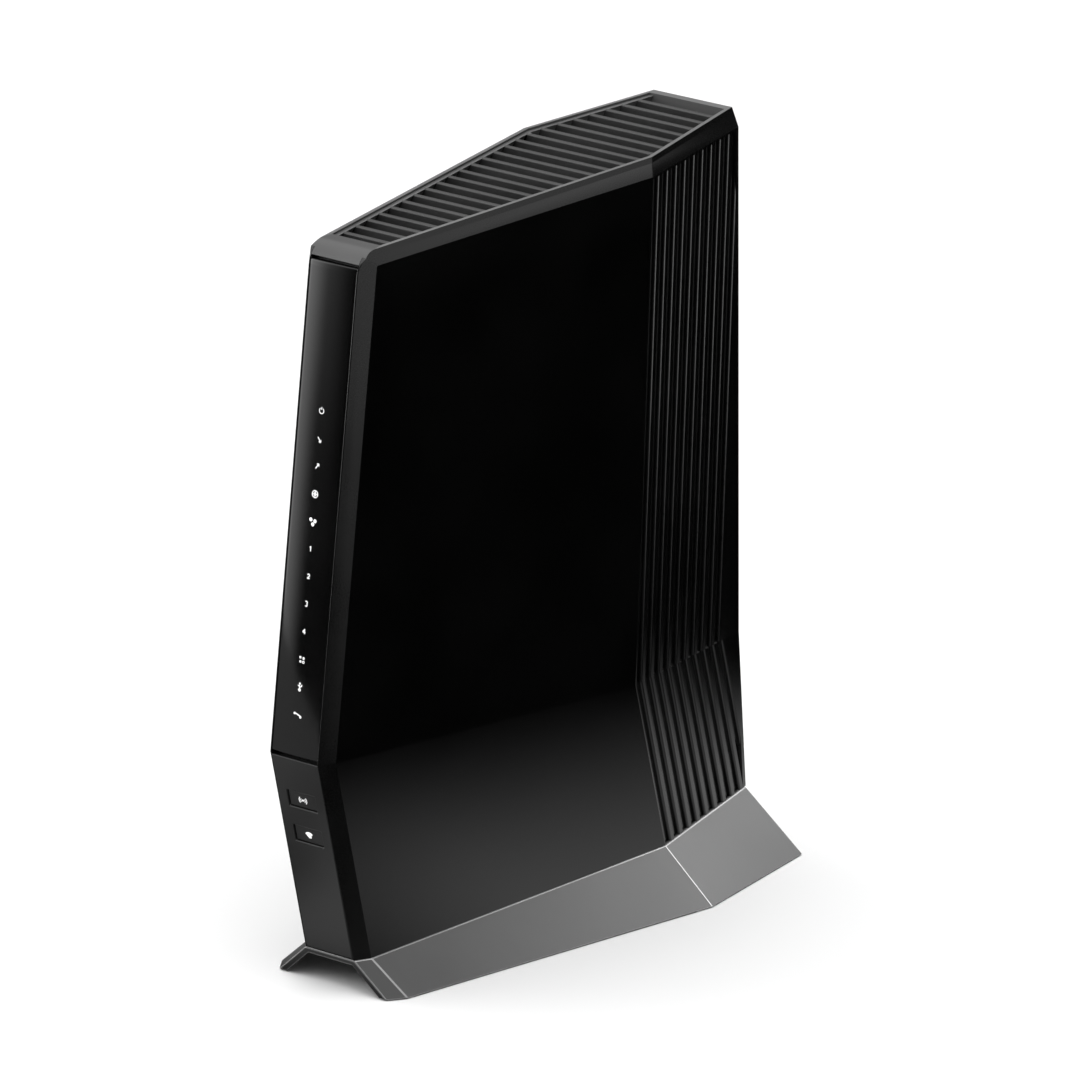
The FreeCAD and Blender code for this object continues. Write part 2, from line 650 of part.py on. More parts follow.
def under_board(thickness, y_range, z_range, start=BOARD_FACE_X - BOARD_THICK):
    """Block standing on the back of the board."""
    return box((start - thickness, start), y_range, z_range)


def main_board():
    """Board with its four screw holes."""
    board = box((BOARD_FACE_X - BOARD_THICK, BOARD_FACE_X), BOARD_Y, BOARD_Z)
    for y, z in BOARD_SCREWS:
        board = board.cut(rod(V(BOARD_FACE_X - 5, y, z), RIGHT, SCREW_PASS, 10))
    return board


def shield(block, wall=0.4):
    """Sheet metal can: a block hollowed from the board side."""
    span = block.BoundBox
    on_component_side = abs(span.XMin - BOARD_FACE_X) < 0.01
    x_range = (span.XMin, span.XMax - wall) if on_component_side else (span.XMin + wall, span.XMax)
    inside = box(x_range, (span.YMin + wall, span.YMax - wall), (span.ZMin + wall, span.ZMax - wall))
    return block.cut(inside)


def heatsink(side, base_x, limit):
    """Plate with upright fins, trimmed to stay clear of the cover."""
    direction = 1 if side == "right" else -1
    base_range = sorted((base_x, base_x + direction * HEATSINK_BASE))
    fin_range = sorted((base_x + direction * 1.0, direction * 60.0))
    sink = box(base_range, HEATSINK_Y, HEATSINK_Z)
    fin_count = int((HEATSINK_Y[1] - HEATSINK_Y[0] - FIN_THICK) / FIN_PITCH) + 1
    for count in range(fin_count):
        y = HEATSINK_Y[0] + count * FIN_PITCH
        fin = box(fin_range, (y, y + FIN_THICK), (HEATSINK_Z[0] + 6, HEATSINK_Z[1] - 6))
        sink = sink.fuse(fin.common(limit))
    return sink.removeSplitter()


def board_parts():
    """Chips, pads, shields, capacitors and heat sinks."""
    limit = region(side=WALL + 3.0)
    chips = {"soc_chip": ((-10, 15), (178, 203)), "modem_chip": ((-10, 13), (134, 157))}
    parts = {name: on_board(CHIP_HEIGHT, *place) for name, place in chips.items()}
    pads = [on_board(PAD, *place, start=BOARD_FACE_X + CHIP_HEIGHT) for place in chips.values()]
    memory = [on_board(1.1, (24, 35), (180 + 16 * count, 193 + 16 * count)) for count in (-2, -1, 0, 1)]
    cans = {"wifi_shield_upper": ((-40, 30), (185, 228)), "wifi_shield_lower": ((-40, 30), (126, 170))}
    for name, place in cans.items():
        parts[name] = shield(under_board(SHIELD_HEIGHT, *place))
    back = BOARD_FACE_X - BOARD_THICK - SHIELD_HEIGHT
    left_pads = [under_board(PAD, (-25, 15), (z - 12, z + 12), start=back) for z in (206, 148)]
    tuner = on_board(4.0, (50, 82), (84, 111))
    jars = [rod(V(BOARD_FACE_X, 74, z), RIGHT, 4.0, 9.0) for z in (52, 72)]
    parts.update({
        "thermal_pads_right": Part.makeCompound(pads),
        "thermal_pads_left": Part.makeCompound(left_pads),
        "memory_chips": Part.makeCompound(memory),
        "tuner_shield": shield(tuner),
        "capacitors": Part.makeCompound(jars),
        "heatsink_right": heatsink("right", BOARD_FACE_X + CHIP_HEIGHT + PAD, limit),
        "heatsink_left": heatsink("left", back - PAD, limit),
    })
    return parts


# ---------------------------------------------------------------- aerials and internal leads
def lead(points, radius):
    """Round wire along straight runs joined by tangent arcs."""
    edges = []
    start = points[0]
    for before, corner, after in zip(points, points[1:], points[2:]):
        to_back = (before - corner)
        to_next = (after - corner)
        shorter = min(to_back.Length, to_next.Length)
        half_turn = (math.pi - to_back.getAngle(to_next)) / 2
        setback = 0.45 * shorter
        arc_radius = setback / math.tan(half_turn)
        inward = (to_back.normalize() + to_next.normalize()).normalize()
        first = corner + to_back * setback
        last = corner + to_next * setback
        middle = corner + inward * (math.hypot(setback, arc_radius) - arc_radius)
        edges.append(Part.LineSegment(start, first).toShape())
        edges.append(Part.Arc(first, middle, last).toShape())
        start = last
    edges.append(Part.LineSegment(start, points[-1]).toShape())
    path = Part.Wire(edges)
    section = Part.Wire(Part.makeCircle(radius, points[0], points[1] - points[0]))
    return path.makePipeShell([section], True, True)


def aerials():
    """Thin aerial foils stuck on the covers' inner walls, and their leads."""
    parts = {}
    foil_space = region(side=WALL).cut(region(side=WALL + 0.8))
    for name, (side, y_range, z_range) in AERIALS.items():
        x_range = (8, 60) if side > 0 else (-60, -8)
        foil = foil_space.common(box(x_range, y_range, z_range))
        parts[name] = foil
        y, z = sum(y_range) / 2, sum(z_range) / 2
        line = box(x_range, (y - 0.01, y + 0.01), (z - 0.01, z + 0.01)).common(foil)
        start_x = side * min(abs(line.BoundBox.XMin), abs(line.BoundBox.XMax)) - side * 0.15
        end_y, end_z = LEAD_ENDS[name]
        board_x = BOARD_FACE_X if side > 0 else BOARD_FACE_X - BOARD_THICK
        points = [V(start_x, y, z), V(start_x - side * 3, y, z),
                  V(board_x + side * 3, end_y, end_z), V(board_x, end_y, end_z)]
        parts[name.replace("antenna", "antenna_cable")] = lead(points, LEAD_RADIUS)
    return parts


def board_leads():
    """Leads from the indicator and button boards to the main board."""
    parts = {}
    for name, z, depth in (("led_cable", 112.0, LED_BOARD_DEPTH), ("button_cable", 70.0, BUTTON_BOARD_DEPTH)):
        start, inward = front_point(3.0, z, depth + SMALL_BOARD)
        end_y = BOARD_Y[0] + 6
        points = [start, start + inward * 8, V(BOARD_FACE_X + 5, end_y, z + 2), V(BOARD_FACE_X, end_y, z + 2)]
        parts[name] = lead(points, 1.0)
    return parts


# ---------------------------------------------------------------- screws
def screw(seat, direction, length):
    """Pan head screw: the head lies behind its seat and the shaft runs along direction."""
    head = rod(seat, direction.negative(), SCREW_HEAD, 1.8)
    return head.fuse(rod(seat, direction, SCREW_SHAFT, length))


def screws():
    """All fasteners, grouped by kind."""
    board = [screw(V(BOARD_FACE_X, y, z), RIGHT.negative(), 6.0) for y, z in BOARD_SCREWS]
    rear = [screw(V(side * x, PANEL_FACE_Y, z), REAR.negative(), 8.0) for x, z in REAR_SCREWS for side in (-1, 1)]
    base = []
    for y in STAND_SCREW_Y:
        start, upward = stand_screw_line(y)
        base.append(screw(start - upward * STAND_SHEET, upward, 11.0))
    groups = {"board_screws": board, "rear_panel_screws": rear, "stand_screws": base}
    return {name: Part.makeCompound(group) for name, group in groups.items()}


# ---------------------------------------------------------------- all nodes
def all_parts():
    """Every node by name."""
    parts = {
        "top_grille": top_grille(),
        "led_panel": led_panel(),
        "front_lower_panel": front_lower_panel(),
        "front_frame": front_frame(),
        "light_guide": light_guide(),
        "stand": stand(),
        "bottom_panel": bottom_panel(),
        "rear_panel": rear_panel(),
        "power_button": power_button(),
        "power_switch": power_switch(),
        "reset_button": reset_button(),
        "reset_switch": reset_switch(),
        "wan_jack": network_jack(WAN_JACK_Z),
        "usb_port": usb_port(),
        "dc_jack": dc_jack(),
        "coax_connector": coax_connector(),
        "coax_nut": coax_nut(),
        "main_board": main_board(),
    }
    for name, z in BUTTON_Z.items():
        parts[name + "_button"] = push_button(z)
        parts[name + "_switch"] = tact_switch(z)
    for count, z in enumerate(LAN_JACK_Z):
        parts["lan_jack_" + str(count + 1)] = network_jack(z)
    for group in (covers(), front_boards(), foot_strips(), board_parts(), aerials(), board_leads(), screws()):
        parts.update(group)
    return parts


os.makedirs("parts", exist_ok=True)
for node, shape in sorted(all_parts().items()):
    valid = "ok" if shape.isValid() else "NOT VALID"
    print(f"{node:24s} {len(shape.Solids)} solids {shape.Volume / 1000:9.3f} cm3 {valid}")
    shape.exportStep("parts/" + node + ".step")
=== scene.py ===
"""Looks of an upright cable modem router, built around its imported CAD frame.

Metres, in the CAD frame: +X to the modem's right-hand side, +Y to its rear, +Z up.
"""
import json
import math
import bmesh
import bpy
from mathutils import Matrix, Vector


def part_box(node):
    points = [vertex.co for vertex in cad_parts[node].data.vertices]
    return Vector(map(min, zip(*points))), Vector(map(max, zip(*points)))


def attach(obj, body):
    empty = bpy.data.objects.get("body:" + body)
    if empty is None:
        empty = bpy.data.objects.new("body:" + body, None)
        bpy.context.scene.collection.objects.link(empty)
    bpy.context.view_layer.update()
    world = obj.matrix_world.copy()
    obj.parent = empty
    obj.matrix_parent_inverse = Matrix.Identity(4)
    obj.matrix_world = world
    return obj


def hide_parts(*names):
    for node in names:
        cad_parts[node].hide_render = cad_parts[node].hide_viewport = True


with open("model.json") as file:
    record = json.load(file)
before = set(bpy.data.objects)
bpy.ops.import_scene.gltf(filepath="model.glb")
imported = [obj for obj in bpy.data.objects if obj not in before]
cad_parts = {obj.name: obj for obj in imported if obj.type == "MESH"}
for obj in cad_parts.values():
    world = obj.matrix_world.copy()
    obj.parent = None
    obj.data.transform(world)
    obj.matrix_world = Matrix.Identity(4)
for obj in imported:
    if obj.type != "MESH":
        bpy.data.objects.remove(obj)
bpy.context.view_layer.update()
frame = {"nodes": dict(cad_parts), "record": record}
MM = 0.001
MODEM = "modem"
FORWARD = Vector((0, -1, 0))
REARWARD = Vector((0, 1, 0))
UP = Vector((0, 0, 1))


# ---------------------------------------------------------------- node helpers
class Nodes:
    """A material's or world's node tree, with short calls that add and link nodes."""

    def __init__(self, owner, keep=False):
        self.tree = owner.node_tree
        if not keep:
            self.tree.nodes.clear()

    def add(self, kind, **settings):
        """New node of a kind; settings name its properties."""
        node = self.tree.nodes.new(kind)
        for key, value in settings.items():
            setattr(node, key, value)
        return node

    def feed(self, socket, value):
        """Put a number, a colour or another node's output on a socket."""
        if isinstance(value, bpy.types.NodeSocket):
            self.tree.links.new(value, socket)
        else:
            socket.default_value = value

    def math(self, operation, first, second=0.0):
        """Arithmetic on numbers or sockets."""
        node = self.add("ShaderNodeMath", operation=operation)
        self.feed(node.inputs[0], first)
        self.feed(node.inputs[1], second)
        return node.outputs[0]

    def product(self, first, *others):
        """All values multiplied."""
        for other in others:
            first = self.math("MULTIPLY", first, other)
        return first

    def ramp(self, value, start, end, low=0.0, high=1.0):
        """Smooth step of a value from start to end."""
        node = self.add("ShaderNodeMapRange", interpolation_type="SMOOTHSTEP")
        for name, number in (("Value", value), ("From Min", start), ("From Max", end),
                             ("To Min", low), ("To Max", high)):
            self.feed(node.inputs[name], number)
        return node.outputs["Result"]

    def place(self, stretch=(1.0, 1.0, 1.0)):
        """Object coordinates, stretched along the axes."""
        place = self.add("ShaderNodeTexCoord")
        mapping = self.add("ShaderNodeMapping")
        mapping.inputs["Scale"].default_value = stretch
        self.feed(mapping.inputs["Vector"], place.outputs["Object"])
        return mapping.outputs["Vector"]

    def noise(self, scale, detail=2.0, stretch=(1.0, 1.0, 1.0)):
        """Noise of a scale per metre."""
        node = self.add("ShaderNodeTexNoise")
        self.feed(node.inputs["Vector"], self.place(stretch))
        self.feed(node.inputs["Scale"], scale)
        self.feed(node.inputs["Detail"], detail)
        return node.outputs["Fac"]

    def tint(self, value, dark, light):
        """Colour between dark and light by a value from 0 to 1."""
        node = self.add("ShaderNodeMix", data_type="RGBA")
        self.feed(node.inputs["Factor"], value)
        self.feed(node.inputs[6], (*dark, 1.0))
        self.feed(node.inputs[7], (*light, 1.0))
        return node.outputs[2]

    def bump(self, height, strength, distance):
        """Normal from a height."""
        node = self.add("ShaderNodeBump")
        self.feed(node.inputs["Height"], height)
        self.feed(node.inputs["Strength"], strength)
        self.feed(node.inputs["Distance"], distance)
        return node.outputs["Normal"]


MATERIALS = {}


def surface(name, dark, light, rough, grain, cloud=25.0, metallic=0.0, stretch=(1.0, 1.0, 1.0), **extra):
    """Moulded, painted or metal surface, kept in MATERIALS.

    dark and light bound its colour clouds, rough its roughness range, and grain is
    (scale per metre, strength, height in metres) of its fine relief.
    """
    material = bpy.data.materials.new(name)
    material.use_nodes = True
    nodes = Nodes(material)
    shader = nodes.add("ShaderNodeBsdfPrincipled")
    output = nodes.add("ShaderNodeOutputMaterial")
    nodes.feed(output.inputs["Surface"], shader.outputs["BSDF"])
    clouds = nodes.noise(cloud, 3.0, stretch)
    scale, strength, height = grain
    relief = nodes.noise(scale, 4.0, stretch)
    nodes.feed(shader.inputs["Base Color"], nodes.tint(nodes.ramp(clouds, 0.3, 0.7), dark, light))
    mixed = nodes.math("ADD", nodes.product(clouds, 0.6), nodes.product(relief, 0.4))
    nodes.feed(shader.inputs["Roughness"], nodes.ramp(mixed, 0.35, 0.65, *rough))
    nodes.feed(shader.inputs["Normal"], nodes.bump(relief, strength, height))
    shader.inputs["Metallic"].default_value = metallic
    for socket, value in extra.items():
        shader.inputs[socket.replace("_", " ")].default_value = value
    MATERIALS[name] = material
    return material


def grey(value):
    """Neutral colour."""
    return (value, value, value)


def circuit_board(name):
    """Green solder mask with copper tracks showing through it."""
    material = surface(name, (0.006, 0.05, 0.022), (0.01, 0.075, 0.035), (0.25, 0.4), (900.0, 0.2, 0.00002))
    nodes = Nodes(material, keep=True)
    shader = next(node for node in nodes.tree.nodes if node.bl_idname == "ShaderNodeBsdfPrincipled")
    cells = nodes.add("ShaderNodeTexVoronoi", distance="MANHATTAN", feature="DISTANCE_TO_EDGE")
    nodes.feed(cells.inputs["Vector"], nodes.place())
    nodes.feed(cells.inputs["Scale"], 160.0)
    tracks = nodes.ramp(cells.outputs["Distance"], 0.02, 0.06, 1.0, 0.0)
    under = shader.inputs["Base Color"].links[0].from_socket
    mix = nodes.add("ShaderNodeMix", data_type="RGBA")
    nodes.feed(mix.inputs["Factor"], tracks)
    nodes.feed(mix.inputs[6], under)
    nodes.feed(mix.inputs[7], (0.03, 0.16, 0.06, 1.0))
    nodes.feed(shader.inputs["Base Color"], mix.outputs[2])


surface("side_gloss", grey(0.0009), grey(0.0017), (0.035, 0.075), (420.0, 0.05, 0.00001))
surface("rib_gloss", grey(0.0014), grey(0.0024), (0.13, 0.19), (900.0, 0.08, 0.00001))
surface("band_satin", grey(0.0018), grey(0.003), (0.24, 0.31), (3200.0, 0.35, 0.00003))
surface("inner_black", grey(0.010), grey(0.016), (0.5, 0.65), (2000.0, 0.3, 0.00003))
# The grille moulding's one grey in three tones: the rim lighter, a painted highlight; the front cap and the
# slats darker, painted shade.
surface("grille_rim_painted_highlight", grey(0.105), grey(0.125), (0.34, 0.46), (3200.0, 0.35, 0.00003))
surface("grille_cap_painted_shade", grey(0.050), grey(0.058), (0.32, 0.42), (3200.0, 0.35, 0.00003))
surface("grille_slat_painted_shade", grey(0.026), grey(0.034), (0.4, 0.52), (3200.0, 0.35, 0.00003))
surface("lens", grey(0.0016), grey(0.0026), (0.05, 0.08), (500.0, 0.04, 0.00001))
surface("front_satin", grey(0.008), grey(0.012), (0.28, 0.38), (2600.0, 0.3, 0.00002))
surface("button_satin", grey(0.009), grey(0.013), (0.3, 0.4), (2600.0, 0.3, 0.00002))
surface("rear_satin", grey(0.010), grey(0.016), (0.42, 0.55), (2200.0, 0.5, 0.00004))
surface("stand_grey", grey(0.038), grey(0.045), (0.30, 0.38), (3600.0, 0.35, 0.00003), metallic=0.6,
        Specular_IOR_Level=0.25)
# The stand's grey made four to five times lighter for its rounded edges and folds: a painted highlight.
surface("stand_painted_edge_highlight", grey(0.17), grey(0.21), (0.24, 0.32), (3600.0, 0.2, 0.00002), metallic=0.6)
surface("foot_rubber", grey(0.012), grey(0.02), (0.7, 0.85), (1500.0, 0.6, 0.00005))
# White print that also glows faintly, though nothing lights it from within: a painted glow on real white ink.
surface("print_white_painted_glow", grey(0.75), grey(0.85), (0.45, 0.6), (2500.0, 0.2, 0.00001),
        Emission_Color=(1.0, 1.0, 1.0, 1.0), Emission_Strength=0.25)
surface("print_grey", grey(0.42), grey(0.5), (0.5, 0.65), (2500.0, 0.2, 0.00001))
circuit_board("circuit_board")
surface("chip_black", grey(0.012), grey(0.02), (0.45, 0.6), (2600.0, 0.5, 0.00003))
surface("clear_guide", grey(0.7), grey(0.8), (0.15, 0.25), (400.0, 0.1, 0.00001), Transmission_Weight=0.7)
surface("lamp", (0.8, 0.82, 0.7), (0.9, 0.9, 0.8), (0.2, 0.3), (900.0, 0.1, 0.00001))
surface("switch_body", grey(0.012), grey(0.018), (0.4, 0.5), (1800.0, 0.4, 0.00002))
surface("thermal_pad", (0.24, 0.27, 0.33), (0.3, 0.33, 0.4), (0.7, 0.85), (1200.0, 0.6, 0.00004))
surface("fin_aluminium", grey(0.62), grey(0.75), (0.28, 0.42), (500.0, 0.3, 0.00002), metallic=1.0,
        stretch=(1.0, 1.0, 0.04))
surface("tin_steel", grey(0.34), grey(0.40), (0.38, 0.46), (2600.0, 0.12, 0.000002), metallic=1.0,
        stretch=(1.0, 0.06, 1.0))
surface("nickel", (0.62, 0.60, 0.55), (0.7, 0.68, 0.63), (0.16, 0.28), (900.0, 0.2, 0.00001), metallic=1.0)
surface("screw_steel", grey(0.10), grey(0.16), (0.28, 0.42), (1500.0, 0.3, 0.00001), metallic=1.0)
surface("contact_gold", (0.72, 0.50, 0.18), (0.82, 0.60, 0.24), (0.18, 0.3), (1500.0, 0.2, 0.00001),
        metallic=1.0)
surface("coax_core", grey(0.7), grey(0.8), (0.4, 0.55), (1500.0, 0.2, 0.00001))
surface("capacitor_sleeve", (0.01, 0.014, 0.05), (0.014, 0.02, 0.07), (0.25, 0.35), (800.0, 0.1, 0.00001))
surface("aerial_copper", (0.65, 0.30, 0.16), (0.75, 0.38, 0.22), (0.25, 0.4), (700.0, 0.2, 0.00001),
        metallic=1.0)
surface("lead_jacket", grey(0.02), grey(0.03), (0.4, 0.55), (1800.0, 0.3, 0.00002))

CAD_SLOT_MATERIALS = {
    "gloss_black": "side_gloss",
    "satin_grey": "grille_rim_painted_highlight",
    "lens_black": "lens",
    "satin_black": "inner_black",
    "button_black": "button_satin",
}


def dress_cad_nodes():
    """Every CAD node gets the finished material of its slot."""
    for part in frame["record"]["subparts"]:
        slot = part["material_slot"]
        material = MATERIALS[CAD_SLOT_MATERIALS.get(slot, slot)]
        mesh = frame["nodes"][part["node"]].data
        mesh.materials.clear()
        mesh.materials.append(material)


SLOT_OF = {part["node"]: part["material_slot"] for part in frame["record"]["subparts"]}


# ---------------------------------------------------------------- mesh helpers
FLAT_COSINE = math.cos(math.radians(0.2))
LARGE_FACE = 60 * MM * MM


def cad_mesh(node, join=lambda face: True):
    """A CAD node's surface, welded, with each flat area that has no holes joined into one face;
    faces that join refuses stay as they are."""
    work = bmesh.new()
    work.from_mesh(frame["nodes"][node].data)
    for face in work.faces:
        face.material_index = 0
    bmesh.ops.remove_doubles(work, verts=work.verts, dist=0.002 * MM)
    work.normal_update()
    for region in flat_regions(work):
        verts = {vert for face in region for vert in face.verts}
        edges = {edge for face in region for edge in face.edges}
        if len(region) > 1 and len(verts) - len(edges) + len(region) == 1 and join(region[0]):
            bmesh.ops.dissolve_faces(work, faces=region, use_verts=False)
    spare = [vert for vert in work.verts if len(vert.link_edges) == 2]
    bmesh.ops.dissolve_verts(work, verts=spare)
    work.normal_update()
    return work


def flat_regions(work):
    """Groups of touching faces that lie in one plane."""
    waiting = set(work.faces)
    regions = []
    for seed in work.faces:
        if seed not in waiting:
            continue
        waiting.remove(seed)
        region = [seed]
        for face in region:
            for edge in face.edges:
                for other in edge.link_faces:
                    if other in waiting and other.normal.dot(seed.normal) > FLAT_COSINE:
                        waiting.remove(other)
                        region.append(other)
        regions.append(region)
    return regions


def bridge(work, first, second):
    """Faces between two equal loops of vertices."""
    for side in range(len(first)):
        after = (side + 1) % len(first)
        work.faces.new((first[side], first[after], second[after], second[side]))


def finish_piece(work, name, body, materials, replaces=None, slot=None):
    """Turn a work mesh into a named piece that rides on a body."""
    mesh = bpy.data.meshes.new(name)
    work.to_mesh(mesh)
    work.free()
    for material in materials:
        mesh.materials.append(MATERIALS[material])
    piece = bpy.data.objects.new(name, mesh)
    bpy.context.scene.collection.objects.link(piece)
    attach(piece, body)
    if replaces:
        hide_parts(replaces)
    slot or SLOT_OF[replaces]
    return piece


def flat_smooth(piece):
    """Smooth shading between sharp edges that keeps flat faces flat."""
    for polygon in piece.data.polygons:
        polygon.use_smooth = True
    normals = piece.modifiers.new("flat_faces", "WEIGHTED_NORMAL")
    normals.mode = "FACE_AREA"
    normals.weight = 100
    normals.keep_sharp = True


def soften(piece, width):
    """Round the weighted edges of a piece, and keep its flat faces flat."""
    bevel = piece.modifiers.new("soft_edges", "BEVEL")
    bevel.limit_method = "WEIGHT"
    bevel.width = width
    bevel.segments = 3
    bevel.use_clamp_overlap = False
    flat_smooth(piece)


def weigh_edges(work, weight_of, least_angle=18.0):
    """Give each sharp edge the share of the bevel width that weight_of says; other folds between
    large faces stay crisp."""
    layer = work.edges.layers.float.new("bevel_weight_edge")
    for edge in work.edges:
        if len(edge.link_faces) != 2:
            continue
        angle = math.degrees(edge.calc_face_angle(0.0))
        if angle > least_angle:
            edge[layer] = weight_of(edge)
            edge.smooth = edge[layer] > 0.0
        elif angle > 0.5 and min(face.calc_area() for face in edge.link_faces) > LARGE_FACE:
            edge.smooth = False


def main_plane(node, direction):
    """Centre and normal of the outermost large face of a CAD node that looks along a direction."""
    mesh = frame["nodes"][node].data
    facing = [polygon for polygon in mesh.polygons if polygon.normal.dot(direction) > 0.9]
    normal = max(facing, key=lambda polygon: polygon.area).normal.copy()
    reach = max(polygon.center.dot(normal) for polygon in facing)
    outer = [polygon for polygon in facing if polygon.center.dot(normal) > reach - 0.05 * MM]
    area = sum(polygon.area for polygon in outer)
    return sum((polygon.center * polygon.area for polygon in outer), Vector()) / area, normal


def solids_of(node):
    """Lowest and highest corners of each separate solid in a CAD node."""
    work = bmesh.new()
    work.from_mesh(frame["nodes"][node].data)
    bmesh.ops.remove_doubles(work, verts=work.verts, dist=0.002 * MM)
    boxes = []
    waiting = set(work.verts)
    while waiting:
        group = [waiting.pop()]
        for vert in group:
            for edge in vert.link_edges:
                other = edge.other_vert(vert)
                if other in waiting:
                    waiting.remove(other)
                    group.append(other)
        corners = [[pick(v.co[axis] for v in group) for axis in range(3)] for pick in (min, max)]
        boxes.append((Vector(corners[0]), Vector(corners[1])))
    work.free()
    return boxes


# ---------------------------------------------------------------- side covers
PANEL, RIBS, BAND, INSIDE = range(4)      # material places of a cover
COVER_BEVEL = 0.35 * MM


def cover_zone(face, side):
    """Finish of a cover's face, by where it looks and lies."""
    x, y, z = face.normal
    centre = face.calc_center_median()
    if x * side > 0.25:
        if z > 0.25 or y < -0.4:
            return BAND
        return RIBS if y > 0.1 else PANEL
    if y < -0.85 and centre.y < -0.05:
        return BAND
    groove_wall = abs(x) < 0.4 and abs(y) > 0.6 and 0.03 < centre.y < 0.108 and abs(centre.x) > 0.02
    return RIBS if groove_wall else INSIDE


def cover(side, node):
    """Cover with a satin bevel band, a gloss panel and half-round ribs."""
    work = cad_mesh(node, lambda face: cover_zone(face, side) in (BAND, PANEL))
    for face in work.faces:
        face.material_index = cover_zone(face, side)

    def weight(edge):
        zones = {face.material_index for face in edge.link_faces}
        return 1.0 if zones == {BAND} else 0.0

    weigh_edges(work, weight)
    piece = finish_piece(work, node + "_shell", MODEM,
                         ["side_gloss", "rib_gloss", "band_satin", "inner_black"], node)
    soften(piece, COVER_BEVEL)


# ---------------------------------------------------------------- grille, front pieces and stand
def even_piece(node, name, body, material, width):
    """A CAD node's shape with every sharp edge softened alike; with no width the edges stay crisp."""
    work = cad_mesh(node)
    weigh_edges(work, lambda edge: 1.0 if width else 0.0)
    piece = finish_piece(work, name, body, [material], node)
    if width:
        soften(piece, width)
    else:
        flat_smooth(piece)


STAND_BEVEL = 0.68 * MM     # along the modem's foot
STAND_EDGE_SHARE = 0.58     # of that width on other edges
STAND_CREASE_SHARE = 0.3    # of that width on the rear creases and ends


def stand_sheet():
    """Bent stand with rounded folds, widest along the modem's foot; the rounded faces take a much lighter
    grey, a painted highlight along the folds and edges.
    """
    work = cad_mesh("stand")

    def weight(edge):
        if max(face.normal.z for face in edge.link_faces) > 0.95:
            return 1.0
        along = (edge.verts[0].co - edge.verts[1].co).normalized()
        rear_crease = abs(along.z) > 0.3 and edge.verts[0].co.y > 0
        return STAND_CREASE_SHARE if rear_crease else STAND_EDGE_SHARE

    weigh_edges(work, weight, 8.0)
    piece = finish_piece(work, "stand_sheet", MODEM, ["stand_grey", "stand_painted_edge_highlight"], "stand")
    soften(piece, STAND_BEVEL)
    # the rounding's faces take the lighter grey: a painted highlight along the folds
    piece.modifiers["soft_edges"].material = 1


SLAT_COUNT = 24
SLAT_PITCH = 7.56 * MM
SLAT_WIDTH = 2.3 * MM
FIRST_SLAT_Y = -76.0 * MM
SLAT_DROP = 1.0 * MM       # slat tops lie below the rim
SLAT_ROUND = 0.5 * MM
SLAT_EMBED = 0.4 * MM      # slat ends reach into the rim
SLAT_DEPTH = 4.0 * MM
CAP_REAR_Y = -83.0 * MM
SLOT_HEIGHTS = 262 * MM, 288 * MM
SLOT_TRIM = 0.02 * MM      # the slots' walls move outwards by this, off the CAD faces


def slot_walls():
    """Points and normals of the four planes that bound the grille's slots sideways."""
    walls = {}
    for face in frame["nodes"]["top_grille"].data.polygons:
        x, y, z = face.normal
        if abs(x) > 0.8 and z < -0.3 and x * face.center.x < 0:
            key = x > 0, y > 0
            if key not in walls or face.center.dot(face.normal) > walls[key][0].dot(walls[key][1]):
                walls[key] = (face.center.copy(), face.normal.copy())
    return [(point - normal * SLOT_TRIM, normal) for point, normal in walls.values()]


def wall_reach(walls, side, y, z):
    """How far from the middle plane the slots reach on one side."""
    return min(abs((point - Vector((0, y, z))).dot(normal) / normal.x)
               for point, normal in walls if point.x * side > 0)


def slot_block(walls, span, heights):
    """Closed block that fills the whole slotted area between two heights."""
    work = bmesh.new()
    steps = [span[0] + (span[1] - span[0]) * index / 60 for index in range(61)]
    rings = []
    for z in heights:
        outline = [(wall_reach(walls, 1, y, z), y) for y in steps]
        outline += [(-wall_reach(walls, -1, y, z), y) for y in reversed(steps)]
        rings.append([work.verts.new((x, y, z)) for x, y in outline])
    low, high = rings
    work.faces.new(low[::-1])
    work.faces.new(high)
    bridge(work, low, high)
    return work


def cut_mesh(node, cutter):
    """A CAD node's surface with a closed block cut out of it."""
    blocks = []
    meshes = frame["nodes"][node].data.copy(), bpy.data.meshes.new("cut_tool")
    for name, mesh in zip(("cut_base", "cut_tool"), meshes):
        blocks.append(bpy.data.objects.new(name, mesh))
        bpy.context.scene.collection.objects.link(blocks[-1])
    cutter.to_mesh(blocks[1].data)
    change = blocks[0].modifiers.new("cut", "BOOLEAN")
    change.operation = "DIFFERENCE"
    change.solver = "EXACT"
    change.object = blocks[1]
    result = bmesh.new()
    result.from_mesh(blocks[0].evaluated_get(bpy.context.evaluated_depsgraph_get()).to_mesh())
    for block in blocks:
        bpy.data.objects.remove(block)
    bmesh.ops.remove_doubles(result, verts=result.verts, dist=0.002 * MM)
    result.normal_update()
    for face in result.faces:
        face.material_index = 0
    return result


def slat(work, y, walls, top_point, top_normal):
    """Upright slat across the slots at y, with a rounded top."""
    front = y - SLAT_WIDTH / 2
    rear = y + SLAT_WIDTH / 2
    top = top_point.z - (y - top_point.y) * top_normal.y / top_normal.z - SLAT_DROP
    section = []
    for corner_y, start in ((rear - SLAT_ROUND, 0), (front + SLAT_ROUND, 90)):
        for step in range(5):
            angle = math.radians(start + 22.5 * step)
            section.append((corner_y + SLAT_ROUND * math.cos(angle),
                            top - SLAT_ROUND * (1 - math.sin(angle))))
    section += [(front, top - SLAT_DEPTH), (rear, top - SLAT_DEPTH)]
    left, right = [[work.verts.new((side * (wall_reach(walls, side, y, z) + SLAT_EMBED), y, z))
                    for y, z in section] for side in (-1, 1)]
    work.faces.new(left)
    work.faces.new(right[::-1])
    for index in range(len(section)):
        after = (index + 1) % len(section)
        work.faces.new((left[after], left[index], right[index], right[after]))


